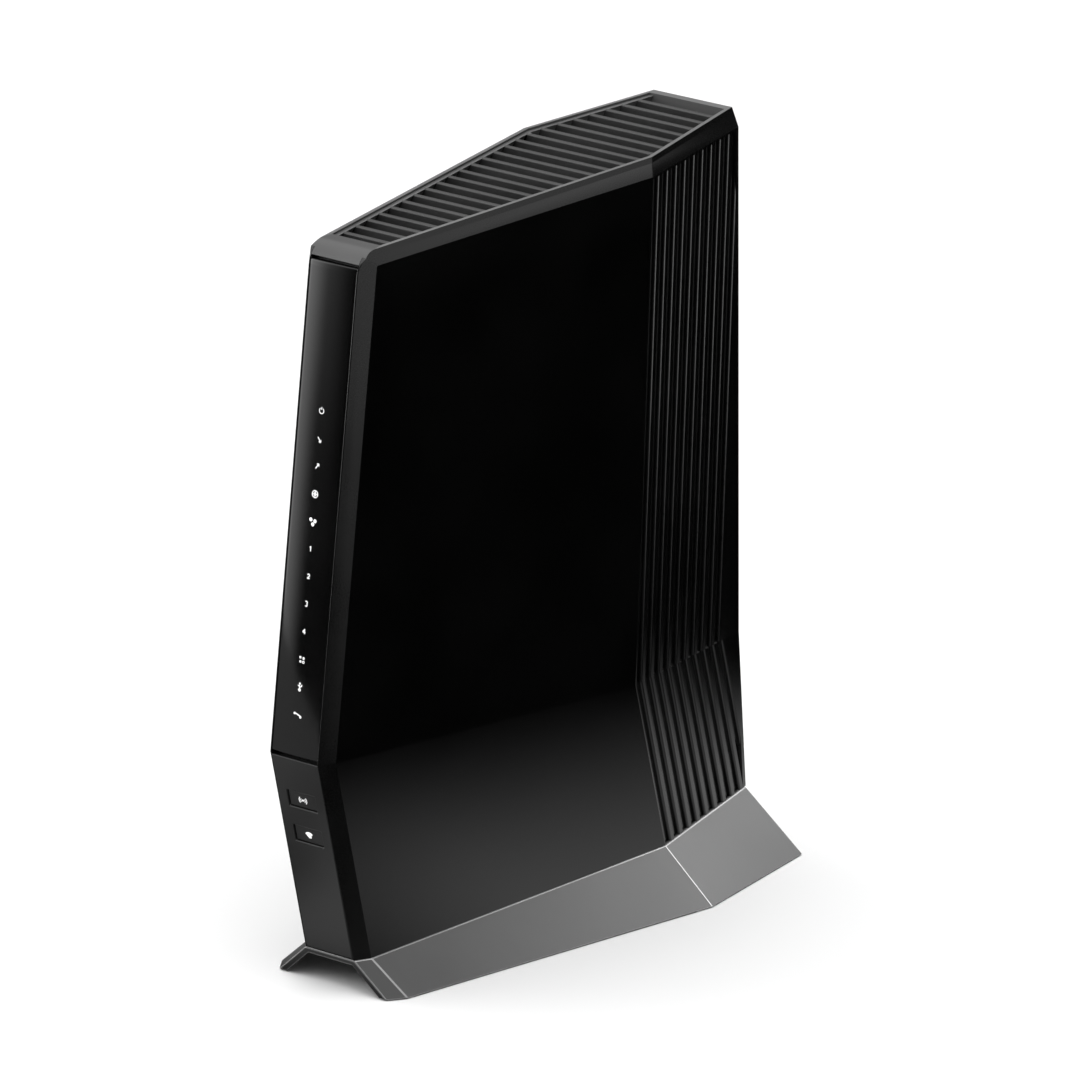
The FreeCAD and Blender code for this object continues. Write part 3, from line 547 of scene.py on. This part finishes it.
def top_grille():
    """Rim, front cap and rounded slats between, in three tones of one grey: the rim lighter as a painted
    highlight, the cap and slats darker as painted shade.
    """
    node = "top_grille"
    painted_highlight_rim, dark_band, front_cap = range(3)
    walls = slot_walls()
    top_point, top_normal = main_plane(node, UP)
    first = FIRST_SLAT_Y - SLAT_PITCH + SLAT_WIDTH / 2 - SLOT_TRIM
    last = FIRST_SLAT_Y + SLAT_COUNT * SLAT_PITCH - SLAT_WIDTH / 2 + SLOT_TRIM
    rim = cut_mesh(node, slot_block(walls, (first, last), SLOT_HEIGHTS))
    # rim faces take the lighter grey, a painted highlight; front cap faces a darker one, painted shade
    for face in rim.faces:
        centre = face.calc_center_median()
        face.material_index = front_cap if centre.y < CAP_REAR_Y else painted_highlight_rim
        if abs(face.normal.x) > 0.7 and face.normal.z > 0.2 and face.normal.x * centre.x > 0:
            face.material_index = dark_band
    weigh_edges(rim, lambda edge: 0.0)
    flat_smooth(finish_piece(rim, "top_grille_rim", MODEM, ["grille_rim_painted_highlight", "band_satin", "grille_cap_painted_shade"], node))
    slats = bmesh.new()
    for index in range(SLAT_COUNT):
        slat(slats, FIRST_SLAT_Y + index * SLAT_PITCH, walls, top_point, top_normal)
    bmesh.ops.recalc_face_normals(slats, faces=slats.faces)
    weigh_edges(slats, lambda edge: 0.0, 30.0)
    flat_smooth(finish_piece(slats, "top_grille_slats", MODEM, ["grille_slat_painted_shade"], slot=SLOT_OF[node]))


def crowned_panel(node, name, material, crown):
    """Front panel whose face bulges slightly across its width."""
    work = cad_mesh(node)
    low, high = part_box(node)
    half = (high.x - low.x) / 2
    for step in range(-7, 8):
        x = half * step / 8
        geometry = work.verts[:] + work.edges[:] + work.faces[:]
        bmesh.ops.bisect_plane(work, geom=geometry, plane_co=(x, 0, 0), plane_no=(1, 0, 0), dist=0.001 * MM)
    facing = {vert for face in work.faces if face.normal.y < -0.85 for vert in face.verts}
    weigh_edges(work, lambda edge: 1.0)
    for vert in facing:
        vert.co.y += crown * (vert.co.x / half) ** 2
    soften(finish_piece(work, name, MODEM, [material], node), 0.3 * MM)


# ---------------------------------------------------------------- printed marks
PRINT_LIFT = 0.005          # millimetres, like every size of a mark
PRINT_THICKNESS = 0.04


def flat_shape(work, outline, to_space):
    """Thin prism on a flat outline; to_space maps (u, v, w) to the frame."""
    lower = [work.verts.new(to_space(u, v, 0.0)) for u, v in outline]
    upper = [work.verts.new(to_space(u, v, PRINT_THICKNESS)) for u, v in outline]
    work.faces.new(upper)
    work.faces.new(lower[::-1])
    bridge(work, lower, upper)


def bar(start, end, width):
    """Outline of a straight stroke."""
    (x0, y0), (x1, y1) = start, end
    length = math.hypot(x1 - x0, y1 - y0)
    nx, ny = (y0 - y1) / length * width / 2, (x1 - x0) / length * width / 2
    return [(x0 - nx, y0 - ny), (x1 - nx, y1 - ny), (x1 + nx, y1 + ny), (x0 + nx, y0 + ny)]


def arc(centre, radius, width, start, end, steps=20):
    """Outline of a circular stroke between two angles in degrees."""
    angles = [math.radians(start + (end - start) * step / steps) for step in range(steps + 1)]
    outer = [(centre[0] + (radius + width / 2) * math.cos(a), centre[1] + (radius + width / 2) * math.sin(a))
             for a in angles]
    inner = [(centre[0] + (radius - width / 2) * math.cos(a), centre[1] + (radius - width / 2) * math.sin(a))
             for a in reversed(angles)]
    return outer + inner


def ring(centre, radius, width):
    """Outlines of a full ring, as two half strokes."""
    return [arc(centre, radius, width, 0, 180), arc(centre, radius, width, 180, 360)]


def disc(centre, radius, steps=20):
    """Outline of a round dot."""
    return [(centre[0] + radius * math.cos(2 * math.pi * step / steps),
             centre[1] + radius * math.sin(2 * math.pi * step / steps)) for step in range(steps)]


def power_mark():
    """Broken ring with a stroke at its top."""
    return [arc((0, 0), 1.0, 0.34, 125, 415), bar((0, 0.35), (0, 1.35), 0.34)]


def arrow_mark(direction):
    """Slanted arrow that points up or down."""
    return [bar((-0.7, -0.9 * direction), (0.6, 0.8 * direction), 0.42),
            bar((0.72, 0.95 * direction), (-0.2, 0.75 * direction), 0.36),
            bar((0.72, 0.95 * direction), (0.72, 0.0), 0.36)]


def globe_mark():
    """Ring with a meridian and a parallel."""
    return ring((0, 0), 1.25, 0.36) + ring((0, 0), 0.55, 0.3) + [bar((-1.25, 0), (1.25, 0), 0.3),
                                                                 bar((0, -1.25), (0, 1.25), 0.3)]


def nodes_mark():
    """Three joined dots."""
    return [disc((-0.95, 0.75), 0.72), disc((0.95, 0.45), 0.72), disc((0.05, -0.85), 0.72)]


def grid_mark():
    """Four small squares, one of them turned into strokes."""
    squares = [bar((x - 0.42, y), (x + 0.42, y), 0.84)
               for x, y in ((-0.75, 0.75), (0.75, 0.6), (-0.6, -0.75))]
    return squares + ring((0.75, -0.8), 0.42, 0.3)


def plug_mark():
    """Forked stem on a foot."""
    return [bar((0, -1.2), (0, 1.3), 0.4), disc((0, -1.0), 0.62), bar((0, -0.2), (0.9, 0.45), 0.34),
            bar((0.9, 0.35), (0.9, 1.0), 0.4), bar((0, 0.1), (-0.85, 0.6), 0.34), disc((0, 1.25), 0.42)]


def side_waves_mark():
    """Dot between arcs that open to both sides."""
    return [disc((0, 0), 0.42)] + [arc((0, 0), radius, 0.34, turn - 42, turn + 42)
                                  for radius in (1.0, 1.75) for turn in (0, 180)]


def fan_mark():
    """Filled fan over a dot."""
    return [[(-1.75, 0.55), (-0.95, 1.15), (0.0, 1.35), (0.95, 1.15), (1.75, 0.55), (0.0, -1.3)],
            disc((0.55, -0.75), 0.45)]


def handset_mark():
    """Flat slanting handset."""
    return [bar((-1.5, 0.5), (1.5, -0.5), 0.5), disc((-1.35, 0.25), 0.5), disc((1.35, -0.75), 0.5)]


def digit_outlines(digit, height):
    """Outlines of a digit, a few plain strokes on a small grid."""
    half, width = height / 2, height * 0.2
    x = height * 0.24
    strokes = {
        "1": [bar((0, -half), (0, half), width),
              bar((0, half - width / 2), (-x, half - 0.28 * height), width)],
        "2": [arc((0, half - x - width / 2), x, width, -35, 170),
              bar((-x - width / 2, -half + width / 2), (x + width / 2, -half + width / 2), width),
              bar((x * 0.75, 0.05 * height), (-x, -half + width / 2), width)],
        "3": [arc((0, x), x, width, -80, 150), arc((0, -x), x, width, -150, 80)],
        "4": [bar((x * 0.5, -half), (x * 0.5, half), width),
              bar((x * 0.5, half - width / 2), (-x - width / 2, -0.1 * height), width),
              bar((-x - width / 2, -0.16 * height), (x * 1.5, -0.16 * height), width)],
    }
    return strokes[digit]


def print_marks(name, body, marks, centre, right, upward, outward, material="print_white_painted_glow"):
    """One thin printed piece on a surface point; marks are outlines in millimetres."""
    work = bmesh.new()

    def to_space(u, v, w):
        return centre + (right * u + upward * v + outward * (w + PRINT_LIFT)) * MM

    for outline in marks:
        turn = sum(a[0] * b[1] - b[0] * a[1] for a, b in zip(outline, outline[1:] + outline[:1]))
        flat_shape(work, outline if turn > 0 else outline[::-1], to_space)
    bmesh.ops.recalc_face_normals(work, faces=work.faces)
    finish_piece(work, name, body, [material], slot="lamp")


def surface_frame(node, direction):
    """Plane of a CAD node as (centre, right, upward, outward)."""
    centre, outward = main_plane(node, direction)
    upward = (UP - outward * UP.dot(outward)).normalized()
    right = upward.cross(outward)
    return centre, right, upward, outward


def indicator_marks():
    """Twelve printed marks over the lamps."""
    plane_point, right, upward, outward = surface_frame("led_panel", FORWARD)
    shapes = [("power", power_mark()), ("down", arrow_mark(-1)), ("up", arrow_mark(1)),
              ("globe", globe_mark()), ("nodes", nodes_mark())]
    shapes += [("digit_" + digit, digit_outlines(digit, 1.9)) for digit in "1234"]
    shapes += [("grid", grid_mark()), ("plug", plug_mark()), ("handset", handset_mark())]
    lamps = sorted(solids_of("leds"), key=lambda corners: -corners[0].z)
    for (label, marks), (low, high) in zip(shapes, lamps):
        lamp = (low + high) / 2
        centre = lamp + outward * (plane_point - lamp).dot(outward)
        print_marks("indicator_" + label, MODEM, marks, centre, right, upward, outward)


def button_marks():
    """Marks on the two front buttons."""
    for node, marks in (("wifi_button", side_waves_mark()), ("wps_button", fan_mark())):
        centre, right, upward, outward = surface_frame(node, FORWARD)
        print_marks(node + "_mark", node, marks, centre, right, upward, outward)


def rear_marks():
    """Small printed marks beside the rear ports, left of each one as the rear is looked at."""
    centre, right, upward, outward = surface_frame("rear_panel", REARWARD)
    labels = [("lan_jack_" + digit, digit_outlines(digit, 2.8)) for digit in "1234"]
    labels += [("wan_jack", globe_mark()), ("usb_port", plug_mark()), ("power_button", power_mark()),
               ("dc_jack", ring((0, 0), 1.2, 0.3) + [disc((0, 0), 0.4)])]
    for node, marks in labels:
        low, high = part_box(node)
        place = Vector((10.6 * MM, centre.y, (low.z + high.z) / 2))
        print_marks(node + "_label", MODEM, marks, place, right, upward, outward, "print_grey")


# ---------------------------------------------------------------- ports and screws
def box_in(work, low, high):
    """Closed block added to a work mesh."""
    size = high - low
    matrix = Matrix.Translation((low + high) / 2) @ Matrix.Diagonal((*size, 1.0))
    bmesh.ops.create_cube(work, size=1.0, matrix=matrix)


LINER_SKIN = 0.12 * MM
LINER_FRONT = 0.3 * MM      # the liner stays this far behind the jack's face
CONTACT_PITCH = 1.02 * MM
CONTACT_RADIUS = 0.2 * MM


def jack_insides():
    """Dark liner and eight gold contacts in each network socket."""
    sockets = {"wan_jack": "wan_socket"}
    sockets.update({"lan_jack_" + digit: "lan_socket_" + digit for digit in "1234"})
    openings = {opening["name"]: opening["box_m"] for opening in frame["record"]["physics"]["openings"]}
    for node, opening in sockets.items():
        low, high = [Vector(corner) for corner in openings[opening]]
        face_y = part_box(node)[1].y
        front = face_y - LINER_FRONT
        liner = bmesh.new()
        for z in (low.z - LINER_SKIN, high.z):
            box_in(liner, Vector((low.x, low.y, z)), Vector((high.x, front, z + LINER_SKIN)))
        box_in(liner, Vector((low.x - LINER_SKIN, low.y, low.z)), Vector((low.x, front, high.z)))
        box_in(liner, Vector((low.x, low.y, low.z)), Vector((high.x, low.y + LINER_SKIN, high.z)))
        finish_piece(liner, node + "_liner", MODEM, ["switch_body"], slot="switch_body")
        wires = bmesh.new()
        for count in range(8):
            z = (low.z + high.z) / 2 + (count - 3.5) * CONTACT_PITCH
            root = Vector((low.x + 0.3 * MM, face_y - 2.5 * MM, z))
            tip = Vector((low.x + 2.6 * MM, face_y - 9.5 * MM, z))
            run = tip - root
            turn = run.to_track_quat("Z", "X").to_matrix().to_4x4()
            matrix = Matrix.Translation((root + tip) / 2) @ turn
            bmesh.ops.create_cone(wires, segments=10, radius1=CONTACT_RADIUS, radius2=CONTACT_RADIUS,
                                  depth=run.length, cap_ends=True, matrix=matrix)
        finish_piece(wires, node + "_contacts", MODEM, ["contact_gold"], slot="nickel")


BARREL_RADIUS = 4.70 * MM
BARREL_END = 0.2 * MM       # the barrel stops this far inside the CAD's end
THREAD_PITCH = 25.4 / 32 * MM
THREAD_DEPTH = 0.42 * MM
THREAD_SIDES = 48
THREAD_STEPS = 8            # rows of faces per turn
LIP_RADIUS = 3.3 * MM       # inner edge of the barrel's end


def circle_points(radius, y, centre_z):
    """Points of a circle about the coax socket's line."""
    for side in range(THREAD_SIDES):
        angle = 2 * math.pi * side / THREAD_SIDES
        yield radius(side) * math.cos(angle), y, centre_z + radius(side) * math.sin(angle)


def coax_socket():
    """Base with a truly threaded barrel, its insulator and its contact hole."""
    insulator, contact = 1, 2
    node = "coax_connector"
    low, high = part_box(node)
    centre_z = (low.z + high.z) / 2
    base_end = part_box("coax_nut")[0].y - 6.5 * MM
    barrel_end = high.y - BARREL_END
    work = bmesh.new()
    box_in(work, Vector((low.x, low.y, low.z)), Vector((high.x - 0.2 * MM, base_end, high.z)))
    rows = []
    steps = int((high.y - base_end) / THREAD_PITCH * THREAD_STEPS)
    for step in range(steps + 1):
        y = base_end + (barrel_end - base_end) * step / steps
        fade = min(1.0, (barrel_end - y) / THREAD_PITCH)

        def radius(side):
            phase = (y / THREAD_PITCH - side / THREAD_SIDES) % 1.0
            return BARREL_RADIUS - THREAD_DEPTH + THREAD_DEPTH * abs(2 * phase - 1) * fade

        rows.append([work.verts.new(point) for point in circle_points(radius, y, centre_z)])
    for first, second in zip(rows, rows[1:]):
        bridge(work, first, second)
    work.faces.new(rows[0])
    rim = [work.verts.new(point)
           for point in circle_points(lambda side: LIP_RADIUS, rows[-1][0].co.y, centre_z)]
    sunk = [work.verts.new((vert.co.x, vert.co.y - 0.8 * MM, vert.co.z)) for vert in rim]
    bridge(work, rows[-1], rim)
    bridge(work, rim, sunk)
    core = work.faces.new(sunk[::-1])
    core.material_index = insulator
    hole = bmesh.ops.inset_individual(work, faces=[core], thickness=2.5 * MM)
    for face in hole["faces"]:
        face.material_index = insulator
    core.material_index = contact
    for vert in core.verts:
        vert.co.y -= 0.3 * MM
    bmesh.ops.recalc_face_normals(work, faces=work.faces)
    piece = finish_piece(work, "coax_socket", MODEM, ["nickel", "coax_core", "contact_gold"], node)
    for polygon in piece.data.polygons:
        polygon.use_smooth = abs(polygon.normal.y) < 0.9


HEAD_HEIGHT = 1.8 * MM
HEAD_SIDES = 48
HEAD_RINGS = 18
CROSS_HALF_WIDTH = 0.32 * MM
CROSS_REACH = 1.45 * MM
CROSS_DEPTH = 0.9 * MM


def head_level(x, y, radius, height):
    """Height of a domed screw head with a cross recess."""
    r = math.hypot(x, y)
    level = height * (1.0 - 0.45 * (r / radius) ** 4)
    across, along = sorted((abs(x), abs(y)))
    if across < CROSS_HALF_WIDTH and along < CROSS_REACH:
        level -= CROSS_DEPTH * (1.0 - 0.55 * r / CROSS_REACH)
    return level


def screw_head(work, seat, outward, radius, height):
    """Domed head with a cross recess, on its seat."""
    place = Matrix.Translation(seat) @ outward.to_track_quat("Z", "Y").to_matrix().to_4x4()
    angles = [2 * math.pi * side / HEAD_SIDES for side in range(HEAD_SIDES)]

    def loop(r, level):
        points = [(r * math.cos(angle), r * math.sin(angle)) for angle in angles]
        return [work.verts.new(place @ Vector((x, y, level(x, y)))) for x, y in points]

    def dome(x, y):
        return head_level(x, y, radius, height)

    tip = work.verts.new(place @ Vector((0, 0, dome(0, 0))))
    loops = [loop(radius * count / HEAD_RINGS, dome) for count in range(1, HEAD_RINGS + 1)]
    for side in range(HEAD_SIDES):
        work.faces.new((tip, loops[0][side], loops[0][(side + 1) % HEAD_SIDES]))
    base = loop(radius, lambda x, y: 0.0)
    for inner, outer in zip(loops, loops[1:] + [base]):
        bridge(work, inner, outer)
    work.faces.new(base)


def screws(node, outward):
    """Pan heads with cross recesses for one group of screws, each with its shaft."""
    work = bmesh.new()
    for low, high in solids_of(node):
        centre = (low + high) / 2
        half = max(high.x - low.x, 1e-6) / 2
        length = abs((high - low).dot(outward))
        top = centre + outward * (length / 2)
        screw_head(work, top - outward * HEAD_HEIGHT, outward, half, HEAD_HEIGHT * 0.98)
        turn = outward.to_track_quat("Z", "Y").to_matrix().to_4x4()
        shaft = length - HEAD_HEIGHT
        middle = top - outward * (HEAD_HEIGHT + shaft / 2)
        bmesh.ops.create_cone(work, segments=24, radius1=0.6 * MM, radius2=1.2 * MM, depth=shaft,
                              cap_ends=True, matrix=Matrix.Translation(middle) @ turn)
    bmesh.ops.recalc_face_normals(work, faces=work.faces)
    finish_piece(work, node + "_cross", MODEM, ["screw_steel"], node)


# ---------------------------------------------------------------- the modem
def build_modem():
    """All pieces."""
    dress_cad_nodes()
    cover(1, "right_cover")
    cover(-1, "left_cover")
    top_grille()
    crowned_panel("led_panel", "led_lens", "lens", 0.35 * MM)
    even_piece("front_lower_panel", "front_lower_moulding", MODEM, "front_satin", 0.45 * MM)
    for node in ("wifi_button", "wps_button"):
        even_piece(node, node + "_cap", node, "button_satin", 0.3 * MM)
    stand_sheet()
    even_piece("rear_panel", "rear_panel_moulding", MODEM, "rear_satin", 0.0)
    even_piece("coax_nut", "coax_nut_hex", MODEM, "nickel", 0.3 * MM)
    indicator_marks()
    button_marks()
    rear_marks()
    jack_insides()
    coax_socket()
    screws("rear_panel_screws", REARWARD)


# ---------------------------------------------------------------- studio
CAMERA_PLACE = Vector((2.1299, -2.5872, 1.2670))
CAMERA_LOOK = Vector((-0.5999, 0.7342, -0.3180))
CAMERA_LENS = 326.1


def camera():
    """Long lens from the front right, a little above."""
    data = bpy.data.cameras.new("camera")
    data.lens = CAMERA_LENS
    data.sensor_width = 36.0
    data.clip_start = 0.1
    data.clip_end = 100.0
    eye = bpy.data.objects.new("camera", data)
    eye.location = CAMERA_PLACE
    eye.rotation_euler = CAMERA_LOOK.to_track_quat("-Z", "Y").to_euler()
    bpy.context.scene.collection.objects.link(eye)
    bpy.context.scene.camera = eye


def floor():
    """Wide pale floor."""
    work = bmesh.new()
    bmesh.ops.create_circle(work, cap_ends=True, segments=96, radius=30.0)
    mesh = bpy.data.meshes.new("studio_floor")
    work.to_mesh(mesh)
    work.free()
    mesh.materials.append(surface("floor_pale", grey(0.86), grey(0.88), (0.5, 0.6), (300.0, 0.02, 0.00001),
                                  cloud=2.0))
    plane = bpy.data.objects.new("studio_floor", mesh)
    plane.location.z = -0.00005
    bpy.context.scene.collection.objects.link(plane)
    plane.visible_glossy = False


def floor_glow():
    """Pale patch that only reflections see: the floor beside the modem, fading outwards, and a weaker
    band before its front."""
    work = bmesh.new()
    bmesh.ops.create_grid(work, x_segments=1, y_segments=1, size=0.8)
    mesh = bpy.data.meshes.new("floor_glow")
    work.to_mesh(mesh)
    work.free()
    material = bpy.data.materials.new("floor_glow")
    material.use_nodes = True
    material.cycles.emission_sampling = "NONE"
    nodes = Nodes(material)
    split = nodes.add("ShaderNodeSeparateXYZ")
    nodes.feed(split.inputs["Vector"], nodes.place())
    x, y = split.outputs["X"], split.outputs["Y"]
    outwards = nodes.ramp(nodes.math("ABSOLUTE", x), 0.03, 0.22, 0.95, 0.0)
    beside = nodes.product(outwards, nodes.ramp(y, -0.13, 0.02), nodes.ramp(y, 0.18, 0.34, 1.0, 0.0))
    across = nodes.math("ADD", nodes.ramp(x, -0.06, -0.03, 0.12, 0.6), nodes.ramp(x, -0.1, -0.065, 0.35, 0.0))
    before = nodes.product(across, nodes.ramp(x, 0.0, 0.04, 1.0, 0.0), nodes.ramp(y, -0.12, -0.10, 1.0, 0.0))
    emission = nodes.add("ShaderNodeEmission")
    nodes.feed(emission.inputs["Strength"], nodes.math("ADD", beside, before))
    nodes.feed(nodes.add("ShaderNodeOutputMaterial").inputs["Surface"], emission.outputs["Emission"])
    mesh.materials.append(material)
    glow = bpy.data.objects.new("floor_glow", mesh)
    glow.location.z = -0.0005
    bpy.context.scene.collection.objects.link(glow)
    glow.visible_diffuse = False


def area_light(name, place, target, size, power):
    """Rectangular soft light aimed at a point."""
    data = bpy.data.lights.new(name, "AREA")
    data.shape = "RECTANGLE"
    data.size, data.size_y = size
    data.energy = power
    light = bpy.data.objects.new(name, data)
    light.location = place
    light.rotation_euler = (Vector(target) - Vector(place)).to_track_quat("-Z", "Y").to_euler()
    light.visible_camera = False
    bpy.context.scene.collection.objects.link(light)
    return light


def card(nodes, direction, heading, inner, outer, low, high, blur, strength):
    """Soft card around the stage: full within inner degrees of a heading from +X towards +Y, nothing
    past outer degrees, between two heights (sines of elevation) with blurred ends."""
    x, y, z = direction
    angle = math.radians(heading)
    along = nodes.math("ADD", nodes.product(x, math.cos(angle)), nodes.product(y, math.sin(angle)))
    length = nodes.math("SQRT", nodes.math("ADD", nodes.product(x, x), nodes.product(y, y)))
    share = nodes.math("DIVIDE", along, nodes.math("MAXIMUM", length, 0.001))
    across = nodes.ramp(share, math.cos(math.radians(outer)), math.cos(math.radians(inner)))
    above = nodes.ramp(z, low - blur, low + blur)
    below = nodes.ramp(z, high - blur, high + blur, 1.0, 0.0)
    return nodes.product(across, above, below, strength)


CEILING = 1.9
DARK_WALL = 0.01
# heading, full and outer half width in degrees, lowest and highest sine of elevation, blur, strength
WALL_CARDS = (202.0, 17.0, 29.0, -0.23, 0.5, 0.10, 4.0), (204.0, 18.0, 35.0, -0.105, 0.5, 0.02, 1.3)
# name, place, target, size, watts, and the one piece that it lights, if not all
SOFTBOXES = (
    ("front_edge_softbox", (0.66, -0.26, 0.22), (0.04, -0.10, 0.20), (0.30, 0.30), 0.22, None),
    ("rib_softbox", (0.52, 0.04, 0.18), (0.03, 0.07, 0.18), (0.26, 0.26), 0.8, None),
    ("flap_softbox", (0.20, 0.36, 0.34), (0.05, 0.06, 0.01), (0.20, 0.20), 1.05, "stand_sheet"),
    ("far_flap_softbox", (-0.25, -0.40, 0.50), (-0.05, 0.02, 0.01), (0.40, 0.40), 1.6, "stand_sheet"),
    ("rear_flap_softbox", (0.05, 0.45, 0.22), (0.04, 0.085, 0.01), (0.20, 0.14), 0.43, "stand_sheet"),
)


def studio_light():
    """Soft studio: bright ceiling and dark walls with tall cards; the camera itself sees a pale wall."""
    world = bpy.data.worlds.new("studio")
    world.use_nodes = True
    bpy.context.scene.world = world
    nodes = Nodes(world)
    output = nodes.add("ShaderNodeOutputWorld")
    background = nodes.add("ShaderNodeBackground")
    nodes.feed(output.inputs["Surface"], background.outputs["Background"])
    coordinates = nodes.add("ShaderNodeTexCoord")
    split = nodes.add("ShaderNodeSeparateXYZ")
    nodes.feed(split.inputs["Vector"], coordinates.outputs["Generated"])
    direction = split.outputs["X"], split.outputs["Y"], split.outputs["Z"]
    total = nodes.ramp(direction[2], math.sin(math.radians(12)), math.sin(math.radians(55)), 0.0, CEILING)
    for shape in WALL_CARDS:
        total = nodes.math("ADD", total, card(nodes, direction, *shape))
    seen = nodes.add("ShaderNodeLightPath").outputs["Is Camera Ray"]
    unseen = nodes.product(nodes.math("ADD", total, DARK_WALL), nodes.math("SUBTRACT", 1.0, seen))
    nodes.feed(background.inputs["Strength"], nodes.math("ADD", unseen, seen))
    area_light("ceiling_softbox", (0.3, -0.2, 1.6), (0, 0, 0.1), (1.2, 1.2), 10.0)
    for name, place, target, size, power, only in SOFTBOXES:
        light = area_light(name, place, target, size, power)
        light.visible_diffuse = False
        if only:
            light.light_linking.receiver_collection = bpy.data.collections.new(name + "_receivers")
            light.light_linking.receiver_collection.objects.link(bpy.data.objects[only])
    bpy.context.scene.view_settings.view_transform = "Standard"


build_modem()
camera()
floor()
floor_glow()
studio_light()
